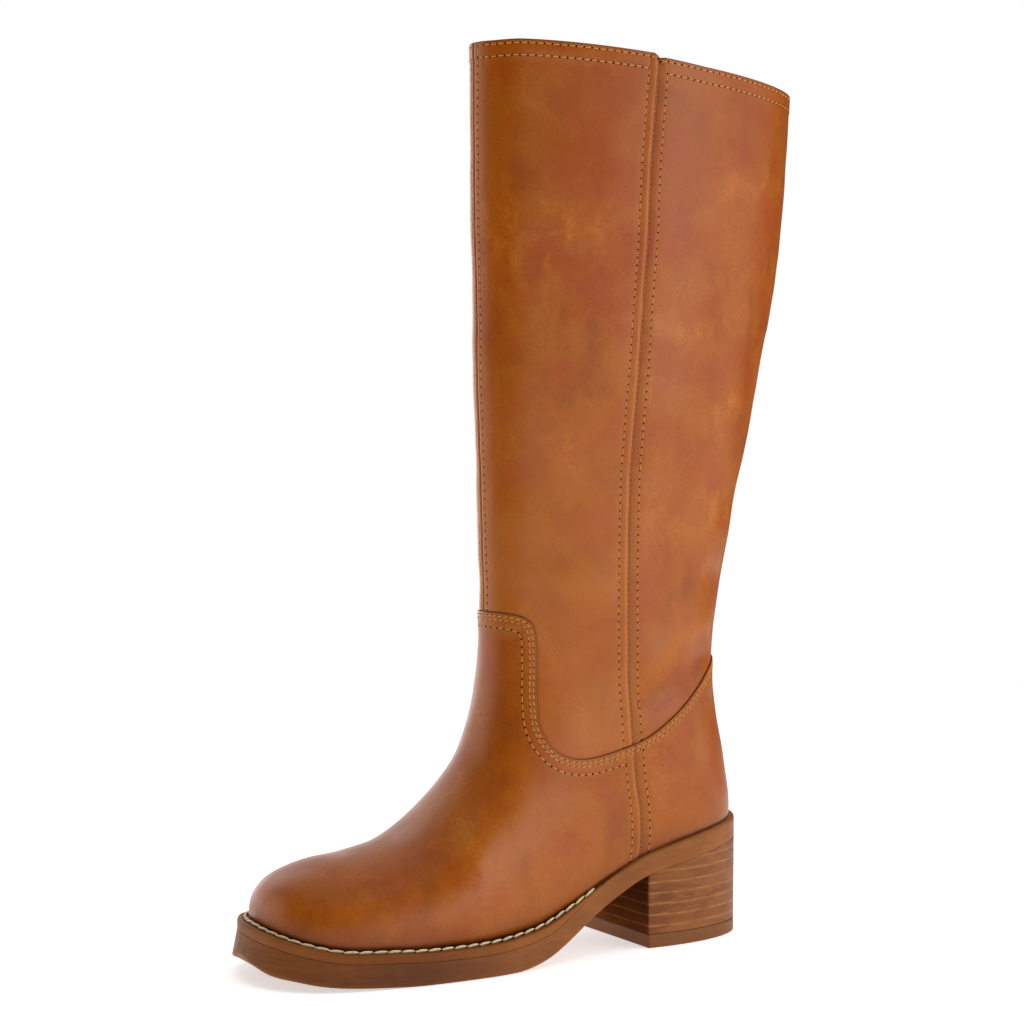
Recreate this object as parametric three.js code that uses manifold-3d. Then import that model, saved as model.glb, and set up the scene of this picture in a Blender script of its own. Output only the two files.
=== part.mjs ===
// Knee-high boot for the left foot, in millimetres.
// +X points to the toe, +Y to the outer side of the foot and +Z up.
// The origin is on the floor, at the middle of the heel.

import * as THREE from 'three';
import { mergeVertices } from 'three/addons/utils/BufferGeometryUtils.js';
import Module from 'manifold-3d';

const wasm = await Module();
wasm.setup();

// ---------------------------------------------------------------- driving sizes

const WALL = 2.0;              // upper leather with its lining
const GAP = 0.3;               // between pieces that meet
const LOOP_POINTS = 36;        // points round one section of the last
const LOOPS_PER_ROW = 2;       // sections made for each row of the last's table
const INNER_START = 1.2;       // row at which the hollow inside begins, behind the toe's tip
const SOLE_STATIONS = 46;      // stations along the sole
const SLAB_STEP = 6;           // length of one step of a slab across the whole boot
const REACH = { back: -110, front: 260, side: 75, top: 500 };

const WELT_THICKNESS = 4.3;
const WELT_WIDTH = 12;
const WELT_END = 58;           // the strip stops at the waist
const WELT_FULL = 92;          // from here to the toe it has its full thickness
const WELT_THIN = 1.4;         // thickness of its skived ends
const INSOLE_THICKNESS = 3;
const INSOLE_FRONT = 217.8;      // the insole stops just short of the toe's wall
const EDGE_ROUND = 0.9;        // rounded arris of the sole's edge
const SOLE_FLARE = 0.9;        // the forefoot's lower edge stands out beyond its upper edge

const HEEL = {
    breast: 31,
    back: -34,
    halfWidth: 30.8,
    straightTo: 24,            // the sides run straight from the breast to here
    squareness: 2,             // of the round back, 2 for an ellipse
    blockTop: 60,              // the block's height before the sole cuts it
    taper: 0.3,                // its top stands out beyond its foot
};
const TOP_LIFT_THICKNESS = 6.5;

// Sections of the last, from the toe's tip round the heel to the collar. Each lies in a plane
// across the boot, from a lower (or back) point to an upper (or front) point of its profile.
// outer, inner: greatest half width; belly: where that is, from 0 at the lower point to 1;
// low, high: roundness of the two halves, 2 for an ellipse; shift: centre, sideways.
const LAST_COLUMNS = ['lowX', 'lowZ', 'highX', 'highZ', 'outer', 'inner', 'belly', 'low', 'high', 'shift'];
const LAST_ROWS = {
    nose:     [220.4, 26.5, 220.5, 29.5, 2.5, 2.5, 0.50, 2.0, 2.0, 3.0],
    tip:      [219.3, 21.0, 218.6, 36.0, 12.0, 12.0, 0.48, 2.4, 2.2, 3.0],
    toeRound: [215.4, 15.5, 213.6, 42.6, 23.5, 21.5, 0.42, 2.8, 2.2, 2.5],
    toeCap:   [208.6, 11.5, 204.6, 47.0, 34.0, 31.0, 0.36, 3.2, 2.2, 1.5],
    toeBox:   [196.0, 8.5, 189.0, 51.0, 41.5, 38.0, 0.32, 3.6, 2.2, 1.0],
    toeRoot:  [178.0, 6.5, 169.0, 53.4, 45.2, 41.5, 0.30, 4.0, 2.2, 0.5],
    ball:     [155.0, 5.5, 149.0, 59.6, 46.6, 41.5, 0.30, 4.0, 2.1, 0.0],
    vamp:     [128.0, 5.5, 129.0, 75.8, 45.5, 38.0, 0.30, 4.0, 2.1, 0.0],
    waist:    [98.0, 7.0, 115.5, 93.5, 40.5, 33.5, 0.32, 4.0, 2.1, 0.0],
    instep:   [70.0, 16.0, 107.5, 115.0, 36.0, 30.5, 0.36, 4.5, 2.1, 0.0],
    arch:     [40.0, 30.0, 104.2, 135.0, 33.5, 31.3, 0.40, 5.5, 2.1, 0.0],
    seat:     [10.0, 37.5, 103.4, 152.0, 32.6, 31.9, 0.42, 5.0, 2.1, 0.0],
    heel:     [-14.0, 43.0, 103.4, 166.0, 32.6, 31.9, 0.44, 3.5, 2.1, 0.0],
    heelBack: [-27.5, 55.0, 103.6, 178.0, 32.4, 31.8, 0.46, 2.7, 2.1, 0.0],
    counter:  [-26.2, 82.0, 104.0, 189.0, 32.2, 31.8, 0.48, 2.4, 2.1, 0.0],
    tendon:   [-22.3, 108.0, 104.2, 201.0, 32.2, 32.0, 0.50, 2.2, 2.1, 0.0],
    ankle:    [-20.4, 135.0, 104.6, 215.0, 32.5, 32.5, 0.50, 2.1, 2.1, 0.0],
    legFoot:  [-25.8, 170.0, 105.3, 232.0, 33.0, 33.0, 0.50, 2.0, 2.0, 0.0],
    legLow:   [-35.0, 212.0, 106.0, 255.0, 34.5, 34.5, 0.50, 2.0, 2.0, 0.0],
    legMid:   [-46.0, 262.0, 107.0, 290.0, 36.5, 36.5, 0.50, 2.0, 2.0, 0.0],
    calf:     [-57.2, 312.0, 108.0, 330.0, 38.0, 38.0, 0.50, 2.0, 2.0, 0.0],
    calfTop:  [-64.2, 362.0, 108.5, 375.0, 39.0, 39.0, 0.50, 2.0, 2.0, 0.0],
    collar:   [-67.4, 414.0, 108.6, 430.0, 39.5, 39.5, 0.50, 2.0, 2.0, 0.0],
};

// The sole's edge: half widths to the outer and inner side, and its upper and lower height.
const SOLE_COLUMNS = ['x', 'outer', 'inner', 'top', 'bottom'];
const SOLE_ROWS = {
    heelBack:    [-33.5, 2.5, 2.5, 58.2, 47.0],
    heelRound:   [-32.2, 7.6, 7.4, 58.0, 46.8],
    heelCorner:  [-28.5, 13.9, 13.6, 57.2, 46.2],
    seatBack:    [-21.0, 20.6, 20.2, 55.9, 45.2],
    seat:        [-8.0, 27.1, 26.6, 53.9, 43.1],
    seatFront:   [10.0, 31.3, 30.8, 50.4, 39.9],
    breast:      [32.0, 32.3, 31.0, 45.0, 34.6],
    arch:        [48.0, 33.2, 29.8, 38.3, 27.2],
    waist:       [62.0, 34.9, 29.3, 31.4, 19.4],
    waistFront:  [76.0, 38.3, 30.5, 24.4, 11.2],
    spring:      [92.0, 42.7, 33.3, 18.3, 3.6],
    treadBack:   [108.0, 47.2, 36.8, 15.6, 0.2],
    tread:       [124.0, 50.6, 40.6, 14.4, 0.0],
    ball:        [150.0, 52.2, 45.0, 14.3, 0.0],
    treadFront:  [170.0, 51.6, 45.7, 14.8, 0.3],
    toeRoot:     [190.0, 48.8, 42.8, 16.2, 1.8],
    toeBox:      [205.0, 43.8, 36.8, 18.2, 3.6],
    toeCap:      [215.5, 35.5, 27.8, 21.2, 5.7],
    toeRound:    [222.2, 26.0, 16.8, 25.4, 7.9],
    tip:         [226.2, 15.0, 5.2, 29.1, 10.0],
    nose:        [227.4, 7.0, -1.0, 30.1, 11.0],
};

// Joint between the foot part and the leg, seen from the side, from back to front.
const JOINT_COLUMNS = ['x', 'z'];
const JOINT_ROWS = {
    behind:    [-60.0, 139.0],
    back:      [-23.0, 136.5],
    backSlope: [-12.0, 131.5],
    rise:      [2.0, 121.0],
    rear:      [17.0, 109.8],
    side:      [32.0, 100.6],
    dip:       [50.0, 94.8],
    lowest:    [68.0, 92.1],
    bend:      [81.0, 96.0],
    climb:     [88.3, 106.5],
    upright:   [89.0, 121.0],
    straight:  [87.8, 137.0],
    shoulder:  [88.0, 152.5],
    corner:    [92.0, 158.2],
    tongue:    [104.0, 160.8],
    inFront:   [140.0, 161.5],
};

// ---------------------------------------------------------------- tables and curves

function namedRow(columns, values) {
    return Object.fromEntries(columns.map((name, index) => [name, values[index]]));
}

function catmullRom(before, start, end, after, t) {
    const slope = end - before;
    const bend = 2 * before - 5 * start + 4 * end - after;
    const twist = 3 * start - before - 3 * end + after;
    return 0.5 * (2 * start + slope * t + bend * t * t + twist * t * t * t);
}

// A row of the table at any place between two of its rows, by a smooth curve through them.
function rowAt(table, columns, place) {
    const rows = Object.values(table);
    const last = rows.length - 1;
    const index = Math.min(Math.floor(Math.max(place, 0)), last - 1);
    const t = place - index;
    const values = columns.map((name, column) => {
        const start = rows[index][column];
        const end = rows[index + 1][column];
        const before = index > 0 ? rows[index - 1][column] : 2 * start - end;
        const after = index + 2 <= last ? rows[index + 2][column] : 2 * end - start;
        return catmullRom(before, start, end, after, t);
    });
    return namedRow(columns, values);
}

function evenly(from, to, count) {
    return Array.from({ length: count + 1 }, (_, i) => from + (to - from) * i / count);
}

// ---------------------------------------------------------------- solids

function geometryOf(positions, indices) {
    const geometry = new THREE.BufferGeometry();
    geometry.setAttribute('position', new THREE.Float32BufferAttribute(positions, 3));
    geometry.setIndex(indices);
    return geometry;
}

function solidOf(geometry) {
    const bare = geometry.clone();
    bare.deleteAttribute('normal');
    bare.deleteAttribute('uv');
    const merged = mergeVertices(bare, 1e-4);
    const mesh = new wasm.Mesh({
        numProp: 3,
        vertProperties: new Float32Array(merged.attributes.position.array),
        triVerts: new Uint32Array(merged.index.array),
    });
    return new wasm.Manifold(mesh);
}

function geometryOfSolid(solid) {
    const mesh = solid.getMesh();
    const stride = mesh.numProp;
    const positions = [];
    for (let vertex = 0; vertex < mesh.vertProperties.length; vertex += stride) {
        positions.push(...mesh.vertProperties.slice(vertex, vertex + 3));
    }
    return geometryOf(positions, Array.from(mesh.triVerts));
}

// Closed solid through a list of loops with the same number of points, its ends closed by
// a fan round each end loop's middle.
function loftSolid(loops) {
    const count = loops[0].length;
    const positions = [];
    const indices = [];
    for (const loop of loops) {
        for (const point of loop) {
            positions.push(point.x, point.y, point.z);
        }
    }
    for (let ring = 0; ring < loops.length - 1; ring += 1) {
        for (let i = 0; i < count; i += 1) {
            const next = (i + 1) % count;
            const a = ring * count + i;
            const b = ring * count + next;
            const c = (ring + 1) * count + next;
            const d = (ring + 1) * count + i;
            indices.push(a, c, b, a, d, c);
        }
    }
    const ends = [[loops[0], 0, false], [loops[loops.length - 1], (loops.length - 1) * count, true]];
    for (const [loop, first, flip] of ends) {
        const middle = new THREE.Vector3();
        loop.forEach((point) => middle.add(point));
        middle.divideScalar(count);
        const centre = positions.length / 3;
        positions.push(middle.x, middle.y, middle.z);
        for (let i = 0; i < count; i += 1) {
            const a = first + i;
            const b = first + (i + 1) % count;
            indices.push(...(flip ? [b, a, centre] : [a, b, centre]));
        }
    }
    return solidOf(geometryOf(positions, indices));
}

// ---------------------------------------------------------------- the last

// How far in a section's own plane a wall of the given thickness reaches, at its lower or
// upper point, where the profile runs at a slant to the plane.
function slantedWall(place, end, thickness) {
    const step = 0.05;
    const last = Object.keys(LAST_ROWS).length - 1;
    const before = rowAt(LAST_ROWS, LAST_COLUMNS, Math.max(place - step, 0));
    const after = rowAt(LAST_ROWS, LAST_COLUMNS, Math.min(place + step, last));
    const here = rowAt(LAST_ROWS, LAST_COLUMNS, place);
    const along = new THREE.Vector2(after[end + 'X'] - before[end + 'X'], after[end + 'Z'] - before[end + 'Z']);
    const plane = new THREE.Vector2(here.highX - here.lowX, here.highZ - here.lowZ);
    const sine = Math.abs(along.normalize().cross(plane.normalize()));
    return thickness / Math.max(sine, 0.6);
}

function signedPower(value, power) {
    return Math.sign(value) * Math.abs(value) ** power;
}

// One section of the last, moved in by a thickness, as a loop of points.
function lastSection(place, thickness) {
    const row = rowAt(LAST_ROWS, LAST_COLUMNS, place);
    const low = new THREE.Vector2(row.lowX, row.lowZ);
    const high = new THREE.Vector2(row.highX, row.highZ);
    const height = low.distanceTo(high);
    const up = high.clone().sub(low).divideScalar(height);
    const belly = row.belly * height;
    const lowReach = belly - slantedWall(place, 'low', thickness);
    const highReach = height - belly - slantedWall(place, 'high', thickness);
    return evenly(0, 2 * Math.PI, LOOP_POINTS).slice(0, LOOP_POINTS).map((angle) => {
        const rise = -Math.cos(angle);
        const side = Math.sin(angle);
        const roundness = rise > 0 ? row.high : row.low;
        const reach = rise > 0 ? highReach : lowReach;
        const width = (side > 0 ? row.outer : row.inner) - thickness;
        const along = belly + reach * signedPower(rise, 2 / roundness);
        const across = row.shift + width * signedPower(side, 2 / roundness);
        return new THREE.Vector3(low.x + up.x * along, across, low.y + up.y * along);
    });
}

// The whole last, or the hollow inside a wall of the given thickness. The hollow runs on past
// the collar, so that cutting it out leaves the collar open.
function lastSolid(thickness) {
    const lastRow = Object.keys(LAST_ROWS).length - 1;
    const start = thickness > 0 ? INNER_START : 0;
    const steps = Math.round((lastRow - start) * LOOPS_PER_ROW);
    const loops = evenly(start, lastRow, steps).map((place) => lastSection(place, thickness));
    if (thickness > 0) {
        const collar = loops[loops.length - 1];
        const above = collar.map((point) => point.clone().add(new THREE.Vector3(0, 0, 10)));
        loops.push(above);
    }
    return loftSolid(loops);
}

// ---------------------------------------------------------------- the sole

const soleTable = evenly(0, Object.keys(SOLE_ROWS).length - 1, SOLE_STATIONS)
    .map((place) => rowAt(SOLE_ROWS, SOLE_COLUMNS, place));

function soleHeight(x, name) {
    const last = soleTable.length - 1;
    const clamped = THREE.MathUtils.clamp(x, soleTable[0].x, soleTable[last].x);
    const after = Math.max(1, soleTable.findIndex((row) => row.x >= clamped - 1e-9));
    const start = soleTable[after - 1];
    const end = soleTable[after];
    const t = (clamped - start.x) / (end.x - start.x);
    return Math.max(0, start[name] + (end[name] - start[name]) * t);
}

const none = () => 0;
const soleTop = (x) => soleHeight(x, 'top');
const soleBottom = (x) => soleHeight(x, 'bottom');

// Solid over an outline that is given by stations with an outer and an inner half width.
// Each ring, from the bottom up, is the outline moved out by an offset, at a height; both
// depend on x. The two end faces are strips across the outline, one for each station.
function platedSolid(stations, rings) {
    const outline = [
        ...stations.map((row) => new THREE.Vector2(row.x, row.outer)),
        ...stations.map((row) => new THREE.Vector2(row.x, -row.inner)).reverse(),
    ];
    const count = outline.length;
    const outward = outline.map((point, i) => {
        const before = outline[(i + count - 1) % count];
        const after = outline[(i + 1) % count];
        const into = point.clone().sub(before).normalize();
        const away = after.clone().sub(point).normalize();
        const along = into.add(away).normalize();
        return new THREE.Vector2(-along.y, along.x);
    });
    const positions = [];
    const indices = [];
    for (const ring of rings) {
        outline.forEach((point, i) => {
            const moved = point.clone().addScaledVector(outward[i], ring.offset(point.x));
            positions.push(moved.x, moved.y, ring.height(moved.x));
        });
    }
    for (let ring = 0; ring < rings.length - 1; ring += 1) {
        for (let i = 0; i < count; i += 1) {
            const a = ring * count + i;
            const b = ring * count + (i + 1) % count;
            indices.push(a, a + count, b, b, a + count, b + count);
        }
    }
    const topRing = (rings.length - 1) * count;
    for (let i = 0; i < stations.length - 1; i += 1) {
        const across = count - 1 - i;
        indices.push(i, i + 1, across, i + 1, across - 1, across);
        indices.push(topRing + i, topRing + across, topRing + i + 1);
        indices.push(topRing + i + 1, topRing + across, topRing + across - 1);
    }
    return solidOf(geometryOf(positions, indices));
}

// Slab across the whole boot, between two heights that depend on x.
function slabSolid(from, to, lowHeight, highHeight) {
    const steps = Math.ceil((to - from) / SLAB_STEP);
    const stations = evenly(from, to, steps).map((x) => ({ x, outer: REACH.side, inner: REACH.side }));
    return platedSolid(stations, [{ offset: none, height: lowHeight }, { offset: none, height: highHeight }]);
}

function soleBand() {
    const flare = (x) => SOLE_FLARE * THREE.MathUtils.smoothstep(x, WELT_END, WELT_FULL);
    return platedSolid(soleTable, [
        { offset: (x) => flare(x) - EDGE_ROUND, height: soleBottom },
        { offset: flare, height: (x) => soleBottom(x) + EDGE_ROUND },
        { offset: none, height: (x) => soleTop(x) - EDGE_ROUND },
        { offset: () => -EDGE_ROUND, height: soleTop },
    ]);
}

function weltThickness(x) {
    const t = THREE.MathUtils.smoothstep(x, WELT_END, WELT_FULL);
    return THREE.MathUtils.lerp(WELT_THIN, WELT_THICKNESS, t);
}

// The room that the welt takes out of the sole, with a clearance round it.
function weltRoom(clearance) {
    const below = (x) => soleTop(x) - weltThickness(x) - clearance;
    const above = (x) => soleTop(x) + 10;
    const inside = () => -WELT_WIDTH - clearance;
    const ring = slabSolid(WELT_END - clearance, REACH.front, below, above);
    const core = platedSolid(soleTable, [
        { offset: inside, height: () => -10 },
        { offset: inside, height: () => REACH.side },
    ]);
    return ring.subtract(core);
}

function heelStations() {
    const reach = HEEL.straightTo - HEEL.back;
    const round = evenly(0, Math.PI / 2, 16).reverse().slice(1).map((angle) => {
        const x = HEEL.straightTo - reach * Math.sin(angle) ** (2 / HEEL.squareness);
        const half = HEEL.halfWidth * Math.cos(angle) ** (2 / HEEL.squareness);
        return { x, outer: half, inner: half };
    });
    const straight = evenly(HEEL.straightTo, HEEL.breast, 2).slice(1)
        .map((x) => ({ x, outer: HEEL.halfWidth, inner: HEEL.halfWidth }));
    return [...round, ...straight];
}

// ---------------------------------------------------------------- joint of foot and leg

// Solid over everything above the joint, moved down by a clearance.
function legRoom(clearance) {
    const rows = Object.values(JOINT_ROWS).map((values) => namedRow(JOINT_COLUMNS, values));
    const curve = new THREE.SplineCurve(rows.map((row) => new THREE.Vector2(row.x, row.z)));
    const points = curve.getPoints(52).map((point, i, all) => {
        const before = all[Math.max(i - 1, 0)];
        const after = all[Math.min(i + 1, all.length - 1)];
        const along = after.clone().sub(before).normalize();
        return point.clone().addScaledVector(new THREE.Vector2(along.y, -along.x), clearance);
    });
    const first = rows[0];
    const last = rows[rows.length - 1];
    const shape = new THREE.Shape([
        ...points,
        new THREE.Vector2(last.x, REACH.top),
        new THREE.Vector2(REACH.back, REACH.top),
        new THREE.Vector2(REACH.back, first.z - clearance),
    ]);
    const geometry = new THREE.ExtrudeGeometry(shape, { depth: 2 * REACH.side, bevelEnabled: false });
    geometry.rotateX(Math.PI / 2);
    geometry.translate(0, REACH.side, 0);
    return solidOf(geometry);
}

// ---------------------------------------------------------------- pieces

function aboveSole() {
    return slabSolid(REACH.back, REACH.front, (x) => soleTop(x) + GAP, () => REACH.top);
}

function leatherWall() {
    return lastSolid(0).subtract(lastSolid(WALL)).intersect(aboveSole());
}

const wall = leatherWall();

function makeUpper() {
    return wall.subtract(legRoom(GAP));
}

function makeShaft() {
    return wall.intersect(legRoom(0));
}

function makeInsole() {
    const bed = slabSolid(
        REACH.back,
        INSOLE_FRONT,
        (x) => soleTop(x) + GAP,
        (x) => soleTop(x) + GAP + INSOLE_THICKNESS,
    );
    return lastSolid(WALL + GAP).intersect(bed);
}

function makeOutsole() {
    return soleBand().subtract(weltRoom(GAP));
}

function makeWelt() {
    return soleBand().intersect(weltRoom(0));
}

function makeHeel() {
    const block = platedSolid(heelStations(), [
        { offset: none, height: () => TOP_LIFT_THICKNESS + GAP },
        { offset: () => HEEL.taper, height: () => HEEL.blockTop },
    ]);
    const underSole = slabSolid(REACH.back, REACH.front, () => 0, (x) => soleBottom(x) - GAP);
    return block.intersect(underSole);
}

function makeTopLift() {
    return platedSolid(heelStations(), [
        { offset: () => -EDGE_ROUND, height: () => 0 },
        { offset: none, height: () => EDGE_ROUND },
        { offset: none, height: () => TOP_LIFT_THICKNESS },
    ]);
}

// ---------------------------------------------------------------- the assembly

const LEATHER = { color: 0x9c5526, roughness: 0.42, metalness: 0 };
const SOLE_RUBBER = { color: 0x6b4129, roughness: 0.55, metalness: 0 };
const WELT_LEATHER = { color: 0x8a5229, roughness: 0.6, metalness: 0 };
const STACKED_LEATHER = { color: 0x7d4f33, roughness: 0.5, metalness: 0 };
const LIFT_RUBBER = { color: 0x70452c, roughness: 0.6, metalness: 0 };
const INSOLE_BOARD = { color: 0xb58a5c, roughness: 0.75, metalness: 0 };

function pieceMesh(name, solid, finish) {
    const mesh = new THREE.Mesh(geometryOfSolid(solid), new THREE.MeshStandardMaterial(finish));
    mesh.name = name;
    return mesh;
}

const boot = new THREE.Group();
boot.name = 'knee_high_boot';
boot.add(pieceMesh('outsole', makeOutsole(), SOLE_RUBBER));
boot.add(pieceMesh('welt', makeWelt(), WELT_LEATHER));
boot.add(pieceMesh('heel', makeHeel(), STACKED_LEATHER));
boot.add(pieceMesh('top_lift', makeTopLift(), LIFT_RUBBER));
boot.add(pieceMesh('insole', makeInsole(), INSOLE_BOARD));
boot.add(pieceMesh('upper', makeUpper(), LEATHER));
boot.add(pieceMesh('shaft', makeShaft(), LEATHER));

export default boot;
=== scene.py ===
"""Looks of a left knee-high leather boot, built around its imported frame.

Sizes are in millimetres until a mesh is made, which is in metres. +X points to the toe,
+Y to the outer side of the foot and +Z up, with the origin on the floor under the heel.
"""
import logging
import math
from collections.abc import Callable
from dataclasses import dataclass, field
from enum import Enum
from functools import partial

import bpy
import numpy as np
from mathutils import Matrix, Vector


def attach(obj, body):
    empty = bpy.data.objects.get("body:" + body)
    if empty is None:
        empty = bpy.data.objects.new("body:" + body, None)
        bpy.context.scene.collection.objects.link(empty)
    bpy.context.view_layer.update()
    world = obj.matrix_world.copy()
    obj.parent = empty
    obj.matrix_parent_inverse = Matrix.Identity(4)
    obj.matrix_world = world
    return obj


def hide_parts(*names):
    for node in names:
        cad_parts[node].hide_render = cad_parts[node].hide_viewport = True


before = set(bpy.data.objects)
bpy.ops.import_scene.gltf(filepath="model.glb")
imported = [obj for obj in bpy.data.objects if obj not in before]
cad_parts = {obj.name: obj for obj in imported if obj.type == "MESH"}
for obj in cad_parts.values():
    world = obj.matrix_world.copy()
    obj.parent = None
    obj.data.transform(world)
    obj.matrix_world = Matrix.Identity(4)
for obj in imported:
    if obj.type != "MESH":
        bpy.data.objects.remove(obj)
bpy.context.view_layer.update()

LOG = logging.getLogger("boot")
METRE = 0.001           # one millimetre, in metres
BODY = "root"
LEAP = 30               # a value that differs so much along an edge does not cross it
FAR = 1e9

# ------------------------------------------------------------------ tables of the shape

# Sections of the last, from the toe's tip round the heel to above the collar:
# low x, low z, high x, high z, outer and inner half width, belly, roundness low and high, shift.
LAST_ROWS = np.array([
    [220.4, 26.5, 220.5, 29.5, 2.5, 2.5, 0.50, 2.0, 2.0, 3.0],
    [219.3, 21.0, 218.6, 36.0, 12.0, 12.0, 0.48, 2.4, 2.2, 3.0],
    [215.4, 15.5, 213.6, 42.6, 23.5, 21.5, 0.42, 2.8, 2.2, 2.5],
    [208.6, 11.5, 204.6, 47.0, 34.0, 31.0, 0.36, 3.2, 2.2, 1.5],
    [196.0, 8.5, 189.0, 51.0, 41.5, 38.0, 0.32, 3.6, 2.2, 1.0],
    [178.0, 6.5, 169.0, 53.4, 45.2, 41.5, 0.30, 4.0, 2.2, 0.5],
    [155.0, 5.5, 149.0, 59.6, 46.6, 41.5, 0.30, 4.0, 2.1, 0.0],
    [128.0, 5.5, 129.0, 75.8, 45.5, 38.0, 0.30, 4.0, 2.1, 0.0],
    [98.0, 7.0, 115.5, 93.5, 40.5, 33.5, 0.32, 4.0, 2.1, 0.0],
    [70.0, 16.0, 107.5, 115.0, 36.0, 30.5, 0.36, 4.5, 2.1, 0.0],
    [40.0, 30.0, 104.2, 135.0, 33.5, 31.3, 0.40, 5.5, 2.1, 0.0],
    [10.0, 37.5, 103.4, 152.0, 32.6, 31.9, 0.42, 5.0, 2.1, 0.0],
    [-14.0, 43.0, 103.4, 166.0, 32.6, 31.9, 0.44, 3.5, 2.1, 0.0],
    [-27.5, 55.0, 103.6, 178.0, 32.4, 31.8, 0.46, 2.7, 2.1, 0.0],
    [-26.2, 82.0, 104.0, 189.0, 32.2, 31.8, 0.48, 2.4, 2.1, 0.0],
    [-22.3, 108.0, 104.2, 201.0, 32.2, 32.0, 0.50, 2.2, 2.1, 0.0],
    [-20.4, 135.0, 104.6, 215.0, 32.5, 32.5, 0.50, 2.1, 2.1, 0.0],
    [-25.8, 170.0, 105.3, 232.0, 33.0, 33.0, 0.50, 2.0, 2.0, 0.0],
    [-35.0, 212.0, 106.0, 255.0, 34.5, 34.5, 0.50, 2.0, 2.0, 0.0],
    [-46.0, 262.0, 107.0, 290.0, 36.5, 36.5, 0.50, 2.0, 2.0, 0.0],
    [-57.2, 312.0, 108.0, 330.0, 38.0, 38.0, 0.50, 2.0, 2.0, 0.0],
    [-64.2, 362.0, 108.5, 375.0, 39.0, 39.0, 0.50, 2.0, 2.0, 0.0],
    [-67.4, 414.0, 108.6, 430.0, 39.5, 39.5, 0.50, 2.0, 2.0, 0.0],
    [-68.4, 432.0, 108.6, 448.0, 39.6, 39.6, 0.50, 2.0, 2.0, 0.0],
])

# Stations of the sole: x, half width outwards and inwards, height of its top and of its foot.
SOLE_ROWS = np.array([
    [-33.5, 2.5, 2.5, 58.2, 47.0],
    [-32.2, 7.6, 7.4, 58.0, 46.8],
    [-28.5, 13.9, 13.6, 57.2, 46.2],
    [-21.0, 20.6, 20.2, 55.9, 45.2],
    [-8.0, 27.1, 26.6, 53.9, 43.1],
    [10.0, 31.3, 30.8, 50.4, 39.9],
    [32.0, 32.3, 31.0, 45.0, 34.6],
    [48.0, 33.2, 29.8, 38.3, 27.2],
    [62.0, 34.9, 29.3, 31.4, 19.4],
    [76.0, 38.3, 30.5, 24.4, 11.2],
    [92.0, 42.7, 33.3, 18.3, 3.6],
    [108.0, 47.2, 36.8, 15.6, 0.2],
    [124.0, 50.6, 40.6, 14.4, 0.0],
    [150.0, 52.2, 45.0, 14.3, 0.0],
    [170.0, 51.6, 45.7, 15.2, 0.3],
    [190.0, 48.8, 42.8, 18.0, 2.0],
    [205.0, 43.8, 36.4, 20.7, 3.6],
    [215.5, 35.5, 26.8, 22.6, 5.3],
    [222.2, 26.0, 15.2, 24.0, 6.5],
    [226.0, 15.0, 5.2, 24.9, 9.3],
    [227.0, 7.0, -0.5, 25.3, 11.4],
])
TOP_BANK = 0.063            # at the toe the sole's top rises so much per millimetre inwards
FOOT_BANK = 0.025           # and its foot so much
BANK_SPAN = (168, 205)      # x between which the bank grows

# Joint of the foot part and the leg, seen from the side: x, z.
JOINT_ROWS = np.array([
    [-60.0, 139.0], [-23.0, 136.5], [-12.0, 131.5], [2.0, 121.0], [17.0, 109.8], [32.0, 100.6],
    [50.0, 94.8], [68.0, 92.1], [81.0, 96.0], [88.3, 106.5], [89.0, 121.0], [87.8, 137.0],
    [88.0, 152.5], [92.0, 158.2], [104.0, 160.8], [140.0, 161.5],
])

# Side seam, from the collar down to the sole: z, x.
SIDE_SEAM_ROWS = np.array([
    [440.0, 29.5], [420.0, 30.4], [393.0, 32.5], [365.0, 34.5], [336.0, 35.8], [308.0, 37.5],
    [280.0, 39.2], [251.0, 41.2], [223.0, 42.6], [195.0, 43.1], [166.0, 43.4], [147.0, 43.2],
    [128.5, 42.8], [109.5, 41.4], [98.0, 40.7], [81.0, 38.8], [67.0, 36.6], [52.5, 36.1],
    [40.0, 37.0], [10.0, 40.0],
])


def through(table: np.ndarray, places: np.ndarray) -> np.ndarray:
    """Rows on a smooth curve through the rows of a table.

    Args:
        table: one row for each whole place.
        places: where rows are wanted, 0 at the first row.

    Returns:
        One row for each place.
    """
    last = len(table) - 1
    padded = np.vstack([2 * table[0] - table[1], table, 2 * table[-1] - table[-2]])
    index = np.clip(np.floor(places).astype(int), 0, last - 1)
    t = (places - index)[:, None]
    before, start, end, after = (padded[index + k] for k in range(4))
    slope = end - before
    bend = 2 * before - 5 * start + 4 * end - after
    twist = 3 * start - before - 3 * end + after
    return 0.5 * (2 * start + slope * t + bend * t * t + twist * t ** 3)


def dense(table: np.ndarray, steps: int = 12) -> np.ndarray:
    """A table with steps rows for each of its own, on a smooth curve through them."""
    return through(table, np.linspace(0, len(table) - 1, (len(table) - 1) * steps + 1))


def unit(vectors: np.ndarray) -> np.ndarray:
    """The vectors at length 1."""
    return vectors / np.maximum(np.linalg.norm(vectors, axis=-1, keepdims=True), 1e-9)


def hump(distance: np.ndarray, reach: float) -> np.ndarray:
    """Soft bump, 1 at distance 0 and near 0 beyond twice the reach."""
    return np.exp(-(distance / reach) ** 2)


def ease(value: np.ndarray, start: float, end: float) -> np.ndarray:
    """Smooth step from 0 at start to 1 at end; start may be the larger."""
    t = np.clip((value - start) / (end - start), 0, 1)
    return t * t * (3 - 2 * t)


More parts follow.
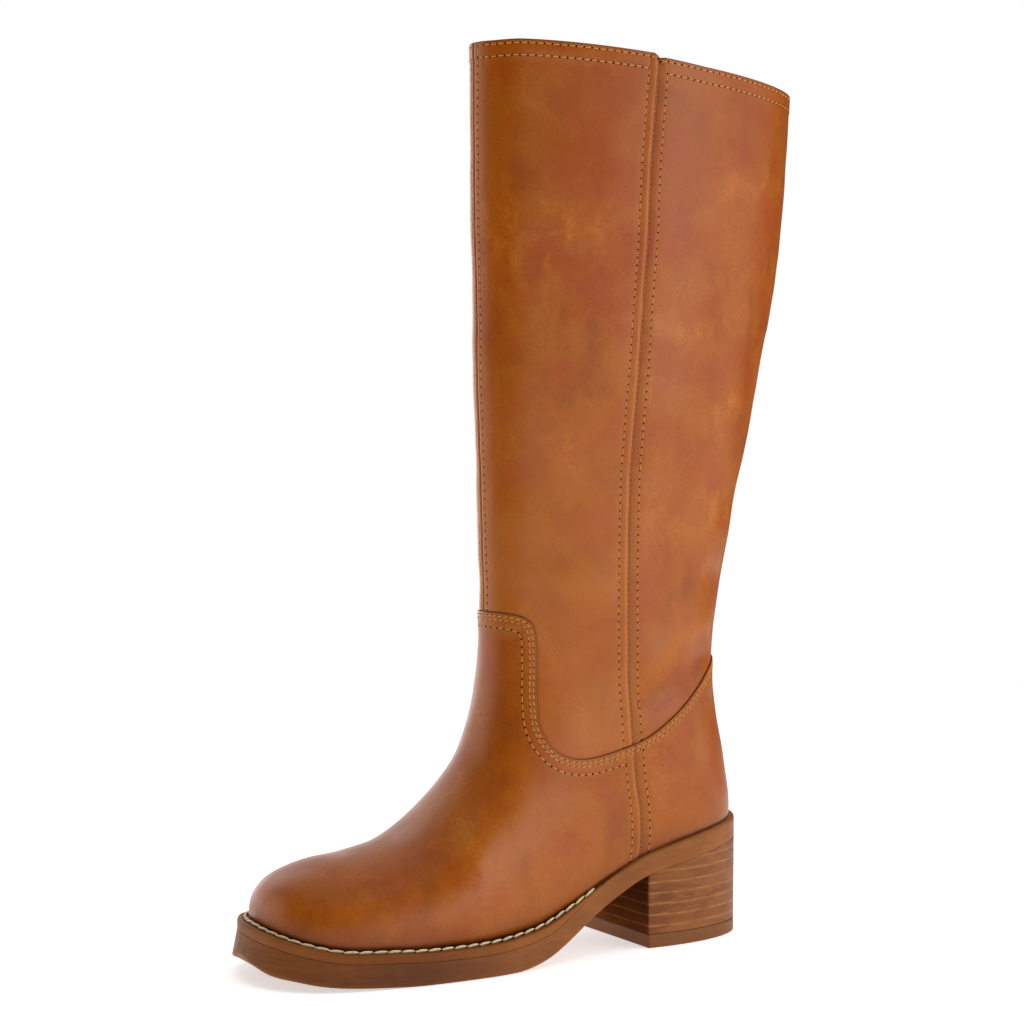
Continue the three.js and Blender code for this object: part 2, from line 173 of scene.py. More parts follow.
def walk(points: np.ndarray, spacing: float, closed: bool = False) -> np.ndarray:
    """Places along a line of points, evenly spaced.

    Args:
        points: the line, one row a point; the first three columns are its place.
        spacing: wished distance, in millimetres, which is adjusted to divide the line.
        closed: whether the line runs back to its start.

    Returns:
        Rows at the even places, with the other columns interpolated too.
    """
    line = np.vstack([points, points[:1]]) if closed else points
    run = np.r_[0, np.cumsum(np.linalg.norm(np.diff(line[:, :3], axis=0), axis=1))]
    count = max(2, int(round(run[-1] / spacing)) + (0 if closed else 1))
    at = np.linspace(0, run[-1], count, endpoint=not closed)
    return np.column_stack([np.interp(at, run, column) for column in line.T])


# ------------------------------------------------------------------ meshes


@dataclass
class Part:
    """Faces of one piece, gathered before its mesh is made.

    Points are in millimetres. Each block of faces has its own finish slot.
    """
    points: list[np.ndarray] = field(default_factory=list)
    blocks: list[tuple[np.ndarray, int]] = field(default_factory=list)
    values: dict[str, list[np.ndarray]] = field(default_factory=dict)
    count: int = 0

    def add_points(self, points: np.ndarray, **values: np.ndarray) -> int:
        """Adds points.

        Args:
            points: their places, one row each.
            values: what a finish reads at them, by name; a value that is left out is 0.

        Returns:
            The number of the first.
        """
        first = self.count
        self.points.append(points)
        self.count += len(points)
        for name, value in values.items():
            if name not in self.values:
                self.values[name] = [np.zeros(first)] if first else []
            self.values[name].append(np.broadcast_to(np.asarray(value, float), (len(points),)))
        for name in set(self.values) - set(values):
            self.values[name].append(np.zeros(len(points)))
        return first

    def add_faces(self, faces: np.ndarray, slot: int = 0) -> None:
        """Adds faces, one row each, all with three or all with four corners."""
        if len(faces):
            self.blocks.append((np.asarray(faces, int), slot))

    def make(self, name: str, materials: list[bpy.types.Material]) -> bpy.types.Object:
        """Makes the object.

        Args:
            name: the object's name.
            materials: the finish of each slot.

        Returns:
            A smooth-shaded object at the origin, in metres.
        """
        mesh = bpy.data.meshes.new(name)
        faces = [row.tolist() for block, _ in self.blocks for row in block]
        mesh.from_pydata((np.vstack(self.points) * METRE).tolist(), [], faces)
        slots = np.concatenate([np.full(len(block), slot) for block, slot in self.blocks])
        mesh.polygons.foreach_set("material_index", slots.astype(np.int32))
        mesh.polygons.foreach_set("use_smooth", np.ones(len(faces), bool))
        for key, chunks in self.values.items():
            attribute = mesh.attributes.new(key, "FLOAT", "POINT")
            attribute.data.foreach_set("value", np.concatenate(chunks).astype(np.float32))
        for material in materials:
            mesh.materials.append(material)
        mesh.update()
        piece = bpy.data.objects.new(name, mesh)
        bpy.context.scene.collection.objects.link(piece)
        return piece


@dataclass
class Skin:
    """Thin skin of triangles with values at its points, which are cut along with it."""
    points: np.ndarray
    normals: np.ndarray
    faces: np.ndarray
    values: dict[str, np.ndarray]

    def pack(self) -> np.ndarray:
        """Places, normals and values as the columns of one table."""
        return np.column_stack([self.points, self.normals, *self.values.values()])

    def unpack(self, table: np.ndarray, faces: np.ndarray) -> "Skin":
        """A skin from such a table and its faces."""
        named = {name: table[:, 6 + i] for i, name in enumerate(self.values)}
        return Skin(table[:, :3], unit(table[:, 3:6]), faces, named)

    def crossings(self, level: np.ndarray) -> tuple[np.ndarray, np.ndarray, np.ndarray]:
        """Edges of the skin where level changes sign.

        Args:
            level: a number at each point.

        Returns:
            The edges as pairs of points, the edge number of each side of each face, and
            whether each edge is crossed.
        """
        sides = np.stack([self.faces, np.roll(self.faces, -1, axis=1)], axis=2).reshape(-1, 2)
        edges, number = np.unique(np.sort(sides, axis=1), axis=0, return_inverse=True)
        return edges, number.reshape(-1, 3), self.crosses(level, edges)

    @staticmethod
    def crosses(level: np.ndarray, edges: np.ndarray) -> np.ndarray:
        """Whether level changes sign along each edge, without leaping."""
        one, other = level[edges].T
        return (one * other < 0) & (np.abs(one - other) < LEAP)

    def scored(self, name: str, at: float) -> "Skin":
        """The skin with a line of points and edges where a value has a certain size.

        Points close to the line are moved onto it, so that no thin slivers are left.

        Args:
            name: the value.
            at: its size on the line.

        Returns:
            The scored skin.
        """
        near = 0.2      # share of an edge within which its end moves
        table = self.pack()
        column = 6 + list(self.values).index(name)
        lock = 6 + list(self.values).index("locked")
        level = table[:, column] - at
        edges, number, crossed = self.crossings(level)
        low, high = edges[crossed].T
        t = level[low] / (level[low] - level[high])
        moves = np.vstack([np.column_stack([low, high, t]), np.column_stack([high, low, 1 - t])])
        moves = moves[(moves[:, 2] < near) & (table[moves[:, 0].astype(int), lock] < 0.5)]
        moves = moves[np.argsort(-moves[:, 2])]
        a, b = moves[:, 0].astype(int), moves[:, 1].astype(int)
        moved = table[a] + (table[b] - table[a]) * moves[:, 2:]
        table[a] = moved
        level[a] = 0.0
        table[a, column] = at
        table[a, lock] = 1.0
        crossed = self.crosses(level, edges)
        low, high = edges[crossed].T
        t = (level[low] / (level[low] - level[high]))[:, None]
        fresh = table[low] + (table[high] - table[low]) * t
        fresh[:, column] = at
        fresh[:, lock] = 1.0
        new_number = np.full(len(edges), -1)
        new_number[crossed] = len(table) + np.arange(crossed.sum())
        middle = new_number[number]
        cuts = (middle >= 0).sum(axis=1)
        whole = self.faces[cuts == 0]
        one, two = cuts == 1, cuts == 2
        v, m = turned(self.faces[one], middle[one], np.argmax(middle[one] >= 0, axis=1))
        halves = [
            np.column_stack([v[:, 0], m[:, 0], v[:, 2]]),
            np.column_stack([m[:, 0], v[:, 1], v[:, 2]]),
        ]
        # the lone corner is the one between the two crossed sides
        lone = (np.argmax(middle[two] < 0, axis=1) + 2) % 3
        v, m = turned(self.faces[two], middle[two], lone)
        thirds = [
            np.column_stack([v[:, 0], m[:, 0], m[:, 2]]),
            np.column_stack([m[:, 0], v[:, 1], v[:, 2]]),
            np.column_stack([m[:, 0], v[:, 2], m[:, 2]]),
        ]
        return self.unpack(np.vstack([table, fresh]), np.vstack([whole, *halves, *thirds]))

    def kept(self, name: str, above: float) -> "Skin":
        """Scores the skin and keeps one side of it.

        Args:
            name: the value that is looked at.
            above: the size over which the skin is kept.

        Returns:
            What is left of the skin.
        """
        scored = self.scored(name, above)
        middle = scored.values[name][scored.faces].mean(axis=1)
        faces = scored.faces[middle > above]
        used, compact = np.unique(faces, return_inverse=True)
        return scored.unpack(scored.pack()[used], compact.reshape(-1, 3))

    def rims(self) -> list[np.ndarray]:
        """The skin's open edges.

        Returns:
            Each as a ring of point numbers, in the order of its faces.
        """
        sides = np.stack([self.faces, np.roll(self.faces, -1, axis=1)], axis=2).reshape(-1, 2)
        _, first, count = np.unique(
            np.sort(sides, axis=1), axis=0, return_index=True, return_counts=True)
        follow = {int(a): int(b) for a, b in sides[first[count == 1]]}
        rings = []
        while follow:
            start, at = next(iter(follow.items()))
            ring = [start]
            del follow[start]
            while at != start:
                ring.append(at)
                at = follow.pop(at)
            rings.append(np.array(ring))
        return rings

    def line(self, name: str, at: float) -> list[np.ndarray]:
        """Lines on the skin where a value has a certain size.

        Args:
            name: the value.
            at: its size on the line.

        Returns:
            Each line as rows of place, normal and values. A closed one ends where it starts.
        """
        level = self.values[name] - at + 1e-7
        table = self.pack()
        edges, number, crossed = self.crossings(level)
        low, high = edges.T
        t = np.where(crossed, level[low] / np.where(crossed, level[low] - level[high], 1), 0)[:, None]
        rows = table[low] + (table[high] - table[low]) * t
        links: dict[int, list[int]] = {}
        for face in number[crossed[number].sum(axis=1) == 2]:
            a, b = (int(n) for n in face if crossed[n])
            links.setdefault(a, []).append(b)
            links.setdefault(b, []).append(a)
        lines = []
        left = set(links)
        while left:
            ends = [n for n in left if len(links[n]) == 1]
            at_edge = min(ends) if ends else min(left)
            chain = [at_edge]
            left.discard(at_edge)
            while True:
                onward = [n for n in links[chain[-1]] if n in left]
                if not onward:
                    break
                chain.append(onward[0])
                left.discard(onward[0])
            if not ends and len(chain) > 2:
                chain.append(chain[0])
            if len(chain) > 2:
                lines.append(rows[chain])
        return lines


def turned(faces: np.ndarray, middle: np.ndarray, start: np.ndarray) -> tuple[np.ndarray, np.ndarray]:
    """Turns faces.

    Args:
        faces: their corners.
        middle: the new points on their sides.
        start: the corner that each begins with afterwards.

    Returns:
        The corners and the new points, turned.
    """
    order = (start[:, None] + np.arange(3)) % 3
    rows = np.arange(len(faces))[:, None]
    return faces[rows, order], middle[rows, order]


# ------------------------------------------------------------------ the last and its lines


@dataclass
class Last:
    """The foot and leg shape that the leather is pulled over."""
    step: float = 2.3           # between sections, where they are furthest apart
    columns: int = 176          # points round a section, an even number
    toe_step: float = 0.16      # largest step between places near the toe's tip

    def section(self, row: np.ndarray) -> np.ndarray:
        """One section as a ring of evenly spaced points.

        Args:
            row: a row of the table of sections.

        Returns:
            The points, from the low point up the outer side and down the inner side.
        """
        low_x, low_z, high_x, high_z, outer, inner, belly, low_round, high_round, shift = row
        up = np.array([high_x - low_x, high_z - low_z])
        height = np.hypot(*up)
        up /= height
        angle = np.linspace(0, math.pi, 721)
        rise, side = -np.cos(angle), np.sin(angle)
        roundness = np.where(rise > 0, high_round, low_round)
        reach = np.where(rise > 0, (1 - belly) * height, belly * height)
        along = belly * height + reach * np.sign(rise) * np.abs(rise) ** (2 / roundness)
        halves = []
        for width in (outer, -inner):
            across = shift + width * side ** (2 / roundness)
            half = np.column_stack([low_x + up[0] * along, across, low_z + up[1] * along])
            run = np.r_[0, np.cumsum(np.linalg.norm(np.diff(half, axis=0), axis=1))]
            at = np.linspace(0, run[-1], self.columns // 2 + 1)
            halves.append(np.column_stack([np.interp(at, run, column) for column in half.T]))
        return np.vstack([halves[0], halves[1][-2:0:-1]])

    def places(self) -> np.ndarray:
        """Spaces the sections.

        Returns:
            Their places in the table, so that none is further than a step from the next.
        """
        fine = np.linspace(0, len(LAST_ROWS) - 1, 4000)
        rows = through(LAST_ROWS, fine)
        low = np.hypot(np.diff(rows[:, 0]), np.diff(rows[:, 1]))
        high = np.hypot(np.diff(rows[:, 2]), np.diff(rows[:, 3]))
        at_toe = np.diff(fine) / self.toe_step * (fine[1:] < 3)
        need = np.maximum(np.maximum(low, high) / self.step, at_toe)
        run = np.r_[0, np.cumsum(need)]
        return np.interp(np.linspace(0, run[-1], int(math.ceil(run[-1])) + 1), run, fine)

    def skin(self) -> Skin:
        """Makes the outer skin.

        Returns:
            The whole skin, closed at the toe's tip and open above the collar.
        """
        rows = through(LAST_ROWS, self.places())
        rings = np.array([self.section(row) for row in rows])
        count, around = rings.shape[:2]
        points = np.vstack([rings.reshape(-1, 3), rings[0].mean(axis=0)])
        tip = len(points) - 1
        ring, column = np.meshgrid(np.arange(count - 1), np.arange(around), indexing="ij")
        a = (ring * around + column).ravel()
        b = (ring * around + (column + 1) % around).ravel()
        c, d = b + around, a + around
        even = (ring + column).ravel() % 2 == 0
        first = np.where(even[:, None], np.column_stack([a, c, b]), np.column_stack([a, d, b]))
        second = np.where(even[:, None], np.column_stack([a, d, c]), np.column_stack([b, d, c]))
        start = np.arange(around)
        cap = np.column_stack([start, (start + 1) % around, np.full(around, tip)])
        faces = np.vstack([first, second, cap])
        normals = np.zeros_like(points)
        corner = [points[faces[:, k]] for k in range(3)]
        area = np.cross(corner[1] - corner[0], corner[2] - corner[0])
        for k in range(3):
            np.add.at(normals, faces[:, k], area)
        return Skin(points, unit(normals), faces, {"locked": np.zeros(len(points))})


@dataclass
class SolePlan:
    """The sole's outline and heights, shared by every piece of the bottom."""
    rows: np.ndarray = field(default_factory=lambda: dense(SOLE_ROWS, 16))
    side_points: int = 250      # points along each side of the outline
    end_points: int = 5         # points on each half of its two ends

    def top(self, x: np.ndarray, y: np.ndarray) -> np.ndarray:
        """Height of the sole's upper edge at x and y, in the coordinates of any number of points."""
        return np.interp(x, self.rows[:, 0], self.rows[:, 3]) - TOP_BANK * y * ease(x, *BANK_SPAN)

    def foot(self, x: np.ndarray, y: np.ndarray) -> np.ndarray:
        """Height of the sole's lower edge at x and y."""
        level = np.interp(x, self.rows[:, 0], self.rows[:, 4]) - FOOT_BANK * y * ease(x, *BANK_SPAN)
        return np.maximum(0, level)

    @staticmethod
    def floor(x: np.ndarray, _y: np.ndarray) -> np.ndarray:
        """Height of the floor, 0 everywhere."""
        return np.zeros(len(x))

    def outline(self) -> np.ndarray:
        """The outline as a ring, from the heel's back along the outer side and back again.

        Returns:
            Its x and y. Point i and point -i lie across from each other.
        """
        outer = self.rows[:, [0, 1]]
        inner = self.rows[:, [0, 2]] * [1, -1]
        ring = np.vstack([outer, inner[::-1]])
        count = len(outer)
        fine = through(np.vstack([ring[-2:], ring, ring[:2]]), np.arange(2, len(ring) + 3, 0.25))
        run = np.r_[0, np.cumsum(np.linalg.norm(np.diff(fine, axis=0), axis=1))]
        along_outer = run[4 * (count - 1)]
        nose = run[4 * count]
        back = run[4 * (2 * count - 1)]
        whole = run[4 * 2 * count]
        # even places: half the back's end, the outer side, the nose, the inner side, the rest
        half_back = np.linspace((back + whole) / 2, whole, self.end_points, endpoint=False)
        side = np.linspace(0, along_outer, self.side_points)
        tip = np.linspace(along_outer, nose, 2 * self.end_points + 1)[1:-1]
        return_side = np.linspace(nose, back, self.side_points)
        rest = np.linspace(back, (back + whole) / 2, self.end_points + 1)[1:-1]
        at = np.concatenate([half_back, side, tip, return_side, rest])
        return np.column_stack([np.interp(at, run, column) for column in fine.T])


# A face of a plate: its height as a function of x and y, and its rise over that.
Level = tuple[Callable[[np.ndarray, np.ndarray], np.ndarray], float]


def outward_of(ring: np.ndarray) -> np.ndarray:
    """Finds which way is out of a flat ring.

    Args:
        ring: its x and y, clockwise seen from above.

    Returns:
        A direction of length 1 at each point.
    """
    ahead = unit(np.roll(ring, -1, axis=0) - ring)
    behind = unit(ring - np.roll(ring, 1, axis=0))
    along = unit(ahead + behind)
    return np.column_stack([-along[:, 1], along[:, 0]])


def add_plate(
    part: Part,
    ring: np.ndarray,
    rings: list[tuple[np.ndarray | float, np.ndarray | float]],
    levels: tuple[Level, Level],
    bands: list[float],
    across: int,
) -> None:
    """Adds a closed plate: rings from the bottom up, and the faces below and above.

    Args:
        part: what the plate is added to.
        ring: its outline, in which point i and point -i lie across from each other.
        rings: for each ring, how far its points are moved outwards, and their height.
        levels: the heights of the lower and of the upper face.
        bands: for each ring, the value "band" that its finish reads.
        across: faces from one side to the other.
    """
    count = len(ring)
    edges = [ring + outward_of(ring) * np.asarray(offset).reshape(-1, 1) for offset, _ in rings]
    for edge, (_, height), band in zip(edges, rings, bands):
        part.add_points(np.column_stack([edge, np.broadcast_to(height, count)]), band=band)
    lowest = part.count - count * len(rings)
    highest = part.count - count
    i = np.arange(count)
    onward = (i + 1) % count
    for base in range(lowest, highest, count):
        above = base + count
        part.add_faces(np.column_stack([base + i, above + i, above + onward, base + onward]))
    half = count // 2
    left = np.arange(1, half)
    share = np.linspace(0, 1, across + 1)[None, 1:-1, None]
    for which, base, order in ((0, lowest, (0, 1, 2, 3)), (-1, highest, (0, 3, 2, 1))):
        near, far = edges[which][left], edges[which][count - left]
        flat = (near[:, None] + (far - near)[:, None] * share).reshape(-1, 2)
        height, rise = levels[which]
        start = part.add_points(np.column_stack([flat, height(*flat.T) + rise]), band=bands[which])
        numbers = np.zeros((half + 1, across + 1), int)
        numbers[0], numbers[half] = base, base + half
        numbers[1:half, 0], numbers[1:half, across] = base + left, base + count - left
        numbers[1:half, 1:across] = start + np.arange(len(flat)).reshape(half - 1, across - 1)
        corners = (numbers[:-1, :-1], numbers[1:, :-1], numbers[1:, 1:], numbers[:-1, 1:])
        a, b, c, d = (corner.ravel() for corner in corners)
        quads = np.column_stack([a, b, c, d])[:, order]
        plain = (a != d) & (b != c)
        part.add_faces(quads[plain])
        part.add_faces(np.array([[*dict.fromkeys(quad)] for quad in quads[~plain].tolist()]))


@dataclass
class Lines:
    """The boot's own lines, and how far a point of the skin lies from each of them."""
    plan: SolePlan
    joint: np.ndarray = field(default_factory=lambda: dense(JOINT_ROWS, 10))
    seam: np.ndarray = field(default_factory=lambda: dense(SIDE_SEAM_ROWS, 8)[::-1])
    collar_rise: float = 0.0909     # of the collar, for each millimetre forwards
    collar_height: float = 420.1    # at x = 0
    collar_arc: float = 1.4         # how much higher it stands halfway
    collar_step: float = 1.4        # how much lower the back panel's edge is at the seam

    def to_joint(self, points: np.ndarray) -> tuple[np.ndarray, np.ndarray]:
        """Distance to the joint in the side view, positive on the leg.

        Args:
            points: their places, one row each.

        Returns:
            The distances, and the direction of each in x and z.
        """
        flat = points[:, [0, 2]]
        best = np.full(len(flat), np.inf)
        sign = np.ones(len(flat))
        way = np.zeros_like(flat)
        for a, b in zip(self.joint, self.joint[1:]):
            along = b - a
            t = np.clip((flat - a) @ along / (along @ along), 0, 1)
            away = flat - (a + t[:, None] * along)
            distance = np.linalg.norm(away, axis=1)
            closer = distance < best
            side = np.sign(along[0] * away[:, 1] - along[1] * away[:, 0])
            best[closer] = distance[closer]
            sign[closer] = np.where(side[closer] == 0, 1, side[closer])
            way[closer] = np.array([-along[1], along[0]]) / np.linalg.norm(along)
        return best * sign, way

    def measured(self, last: Last, inset: float = 0.0) -> Skin:
        """Measures a last's skin.

        Args:
            last: the last.
            inset: how far the skin is moved inwards.

        Returns:
            The skin, with distances to the joint, seams, sole and collar along its surface.
        """
        skin = last.skin()
        skin.points = skin.points - skin.normals * inset
        points, normals = skin.points, skin.normals
        joint, way = self.to_joint(points)
        slope = np.column_stack([way[:, 0], np.zeros(len(way)), way[:, 1]])
        skin.values["joint"] = joint / self.share(slope, normals)
        skin.values["inside"] = -skin.values["joint"]
        x_seam = np.interp(points[:, 2], self.seam[:, 0], self.seam[:, 1])
        leans = np.gradient(self.seam[:, 1], self.seam[:, 0])
        lean = np.interp(points[:, 2], self.seam[:, 0], leans)
        slope = np.column_stack([np.ones(len(lean)), np.zeros(len(lean)), -lean])
        skin.values["side"] = (points[:, 0] - x_seam) / self.share(slope, normals)
        back = 80 * (points[:, 0] < 75)     # so that the line runs down the front only
        skin.values["front"] = points[:, 1] + np.where(points[:, 1] < 0, -back, back)
        skin.values["sole"] = points[:, 2] - self.plan.top(points[:, 0], points[:, 1])
        skin.values["collar"] = self.collar(points, skin.values["side"]) - points[:, 2]
        return skin

    def collar(self, points: np.ndarray, side: np.ndarray) -> np.ndarray:
        """Height of the collar's edge, with a small notch at each side seam.

        Args:
            points: their places, one row each.
            side: their distance to the side seam.

        Returns:
            The edge's height at each.
        """
        middle = (points[:, 0] - 20.0) / 88.0
        arc = self.collar_arc * np.maximum(0, 1 - middle ** 2)
        notch = 0.8 * hump(side + 0.4, 0.8)
        behind = self.collar_step * (1 - ease(side, -0.8, 0.2)) + 0.6 * ease(-side, 2, 30)
        ahead = ease(points[:, 0], 94, 107)
        return self.collar_height + self.collar_rise * points[:, 0] + arc - notch - behind - ahead

    @staticmethod
    def share(slope: np.ndarray, normals: np.ndarray) -> np.ndarray:
        """How fast a distance with this slope grows along the surface, at least 0.3."""
        inward = np.einsum("ij,ij->i", slope, normals)[:, None]
        return np.maximum(np.linalg.norm(slope - normals * inward, axis=1), 0.3)


# ------------------------------------------------------------------ relief of the leather


@dataclass(frozen=True)
class Crease:
    """A soft fold in the leather, drawn in the side view."""
    line: tuple[tuple[float, float], ...]   # x, z
    depth: float                            # of a trough; a ridge has it below 0
    reach: float                            # half width of the fold
    outer: float = 1.0                      # share of its depth on the outer side
    inner: float = 1.0                      # and on the inner side

    def depth_at(self, points: np.ndarray) -> np.ndarray:
        """How deep the fold is, running out softly at both ends.

        Args:
            points: their places, one row each.

        Returns:
            Its depth at each.
        """
        flat = points[:, [0, 2]]
        knots = np.array(self.line, float)
        fine = walk(np.column_stack([knots[:, 0], knots[:, 1] * 0, knots[:, 1]]), 2.5)[:, [0, 2]]
        away = np.linalg.norm(flat[:, None] - fine[None], axis=2)
        nearest = away.argmin(axis=1)
        run = nearest / (len(fine) - 1)
        ends = np.clip(4 * run * (1 - run), 0, 1) ** 0.5
        share = np.where(points[:, 1] > 0, self.outer, self.inner)
        across = np.clip(np.abs(points[:, 1]) / 8, 0, 1)
        share = share * across + 0.5 * (self.outer + self.inner) * (1 - across)
        return self.depth * share * ends * hump(away.min(axis=1), self.reach)


CREASES = (
    # above the counter, behind the side seam: a trough and the roll above it
    Crease(((-12, 137), (0, 132), (14, 126), (30, 119), (38, 114)), 1.9, 6.5, 1.0, 0.8),
    Crease(((-14, 155), (2, 152), (15, 146), (27, 138), (36, 130)), -1.3, 7.5, 1.0, 0.8),
    Crease(((-22, 173), (-8, 176), (8, 174), (22, 168)), 1.2, 7.5, 0.9, 1.1),
    # ankle, in front of the side seam
    Crease(((74, 152), (64, 154), (52, 156), (44, 158)), 0.45, 2.6, 1.0, 0.7),
    Crease(((84, 170), (72, 175), (58, 176), (48, 173)), -0.5, 6.0, 1.0, 0.9),
    Crease(((96, 190), (84, 187), (70, 190), (52, 196)), 0.6, 6.0, 0.9, 1.1),
    # middle and upper leg, long and shallow
    Crease(((62, 222), (50, 225), (38, 228), (24, 233)), 0.5, 7.0, 1.0, 0.6),
    Crease(((-42, 222), (-28, 214), (-12, 212), (6, 216)), 0.8, 8.0, 0.8, 1.1),
    Crease(((88, 262), (72, 256), (56, 258)), 0.5, 9.0, 0.8, 1.0),
    Crease(((-50, 300), (-30, 290), (-8, 288)), 0.6, 10.0, 0.9, 0.7),
    # instep, where the tongue meets the vamp
    Crease(((122, 88), (108, 96), (97, 108)), 0.5, 6.0, 1.0, 1.0),
    Crease(((150, 50), (140, 44), (128, 42)), 0.35, 7.0, 1.0, 1.0),
)

# Side seam, across it: distance to the front of the seam line, and height of the leather.
SEAM_PROFILE = np.array([
    [-7.5, 0.0], [-6.0, 0.0], [-5.3, -0.08], [-5.0, -0.14], [-4.7, -0.08], [-3.6, -0.10],
    [-2.4, -0.28], [-1.2, -0.50], [-0.5, -0.66], [-0.1, -0.80], [0.15, -0.50], [0.5, 0.08],
    [1.2, 0.30], [2.4, 0.30], [3.8, 0.10], [4.7, -0.06], [5.0, -0.14], [5.3, -0.08],
    [6.0, 0.0], [7.5, 0.0],
])
FRONT_PROFILE = np.array([
    [0.0, -0.55], [0.3, -0.40], [0.7, 0.05], [1.4, 0.22], [2.2, 0.18], [2.8, -0.02], [3.1, -0.10],
    [3.4, -0.02], [4.5, 0.0],
])
SIDE_ROWS_AT = 5.0          # stitches each side of the side seam
FRONT_ROWS_AT = 3.1         # and of the front seam
EDGE_ROWS_AT = (1.3, 3.1)   # inside the foot part's upper edge
INNER_ROW_AT = 6.9          # third row, on the vamp only
COLLAR_ROWS_AT = (1.6, 7.3)
COLLAR_FOLD = 8.6           # how far the collar's edge is folded in
EDGE_LIFT = 0.66            # the foot part lies on the leg's leather at their joint


def waves(points: np.ndarray) -> np.ndarray:
    """Slow unevenness of soft leather.

    Args:
        points: their places, one row each.

    Returns:
        A number between about -1 and 1 at each.
    """
    x, y, z = points.T
    first = np.sin(z / 21 + x / 33 + 1.3 + y / 60) * np.sin(x / 24 - z / 45 + 0.4)
    second = np.sin(z / 37 - x / 19 + y / 35 + 2.1) * np.sin(z / 15 + y / 28)
    third = np.sin(z / 6.1 + x / 8.3 + y / 9 + 0.9 * first) * np.sin(x / 6.7 - z / 11.5 + 1.7 * second)
    return 0.6 * first + 0.4 * second + 0.22 * third


class Leather(Enum):
    """The two leather parts of the boot."""
    FOOT = "foot"
    LEG = "leg"


def folds(skin: Skin) -> np.ndarray:
    """Height that the creases add, shared by the leather's two faces and the lining."""
    depth = sum(crease.depth_at(skin.points) for crease in CREASES)
    return -depth * ease(np.abs(skin.values["joint"]), 0, 8) * ease(skin.values["sole"], 4, 14)


def relief(skin: Skin, kind: Leather) -> np.ndarray:
    """Height of a leather's outer face over the last, at each point of a skin.

    Args:
        skin: points with their distances to the boot's lines.
        kind: which leather part.

    Returns:
        Heights in millimetres.
    """
    v = skin.values
    seam = np.interp(v["side"], *SEAM_PROFILE.T)
    height = seam + folds(skin)
    if kind is Leather.FOOT:
        inside = -v["joint"]
        height = height - seam * 0.65 * ease(inside, 5.0, 0.5)
        seam_end = ease(v["sole"], 1, 6)
        height = height + 0.16 * waves(skin.points) * ease(v["sole"], 3, 16) * ease(inside, 2, 12)
        height = height * (0.4 + 0.6 * seam_end)
        height = height + EDGE_LIFT * (1 - ease(inside, 2.5, 14))
        for at in EDGE_ROWS_AT:
            height = height - 0.10 * hump(inside - at, 0.45)
        on_vamp = ease(v["side"], SIDE_ROWS_AT - 0.5, SIDE_ROWS_AT + 0.5)
        height = height - 0.12 * hump(inside - INNER_ROW_AT, 0.5) * on_vamp
        return height - 0.5 * (1 - ease(v["sole"], 0, 2.6))
    low, joint = v["collar"], v["joint"]
    soft = ease(joint, 2, 20) * ease(low, 12, 40)
    height = height + 0.60 * waves(skin.points) * soft
    height = height + np.interp(np.abs(v["front"]), *FRONT_PROFILE.T)
    height = height + 0.30 * (1 - ease(low, COLLAR_FOLD - 1.5, COLLAR_FOLD + 0.5))
    for at in COLLAR_ROWS_AT:
        height = height - 0.12 * hump(low - at, 0.5)
    under = height * ease(joint, 0.2, 1.2) - 0.14 * ease(joint, 1.2, 0.2)
    return np.where(joint < 1.2, under, height)


def shades(skin: Skin, kind: Leather) -> dict[str, np.ndarray]:
    """Values that the leather's finish reads.

    Args:
        skin: points with their distances to the boot's lines.
        kind: which leather part.

    Returns:
        How burnished each point is, with painted shade added, and its tone with painted highlights and
        painted shade.
    """
    v = skin.values
    # painted shade: darker in the side seam's groove and in the hollow band behind it
    groove = hump(v["side"] + 0.2, 0.45)
    band = ease(v["side"], -4.4, -2.6) * ease(v["side"], 0.0, -0.6)
    burnish = 0.75 * groove + 0.10 * band
    # painted highlight on the ridge in front of the side seam
    lift = hump(v["side"] - 1.4, 1.0) * 0.5
    edge = np.abs(v["joint"])
    if kind is Leather.FOOT:
        # painted shade where the foot meets the sole, and darker towards the sole
        burnish = burnish + 0.75 * (1 - ease(v["sole"], 0.3, 4.0)) + 0.22 * (1 - ease(v["sole"], 2, 16))
        # painted highlight on the folded edge between the edge rows
        lift = lift + 0.45 * hump(edge - 2.2, 1.2)
        burnish = burnish + 0.35 * (1 - ease(edge, 0.0, 0.5))
        lift = lift + 0.22
    else:
        # painted shade on the leg along the foot part's edge, which lies over it
        burnish = burnish + 0.30 * (1 - ease(v["joint"], 0.0, 1.4))
        burnish = burnish + 0.55 * (1 - ease(v["collar"], 0.0, 0.8))
        # painted shade in the front seam's groove
        burnish = burnish + 0.8 * hump(v["front"], 0.35)
        # painted highlights on the ridges beside the front seam
        lift = lift + 0.3 * hump(np.abs(v["front"]) - 1.6, 0.8)
        # painted light: lighter towards the lower leg, most in front of the side seam; then darker towards
        # the collar
        lift = lift + 0.50 * ease(skin.points[:, 2], 330, 175) * (0.45 + 0.55 * ease(v["side"], -6, 0))
        lift = lift - 0.3 * ease(skin.points[:, 2], 330, 410)
    # the creases add painted highlights on their ridges and painted shade in their troughs
    return {"burnish": np.clip(burnish, 0, 1), "pull": np.clip(lift + 0.25 * folds(skin), -0.4, 1)}


# ------------------------------------------------------------------ finishes


Adder = Callable[..., bpy.types.NodeSocket]     # adds a node to one tree
EVEN = (1.0, 1.0, 1.0)                          # a pattern that is not drawn out


def linear(hex_colour: str) -> tuple[float, float, float, float]:
    """A linear colour from an sRGB one such as "#A55E39"."""
    parts = [int(hex_colour[i:i + 2], 16) / 255 for i in (1, 3, 5)]
    return (*(p / 12.92 if p <= 0.04045 else ((p + 0.055) / 1.055) ** 2.4 for p in parts), 1.0)


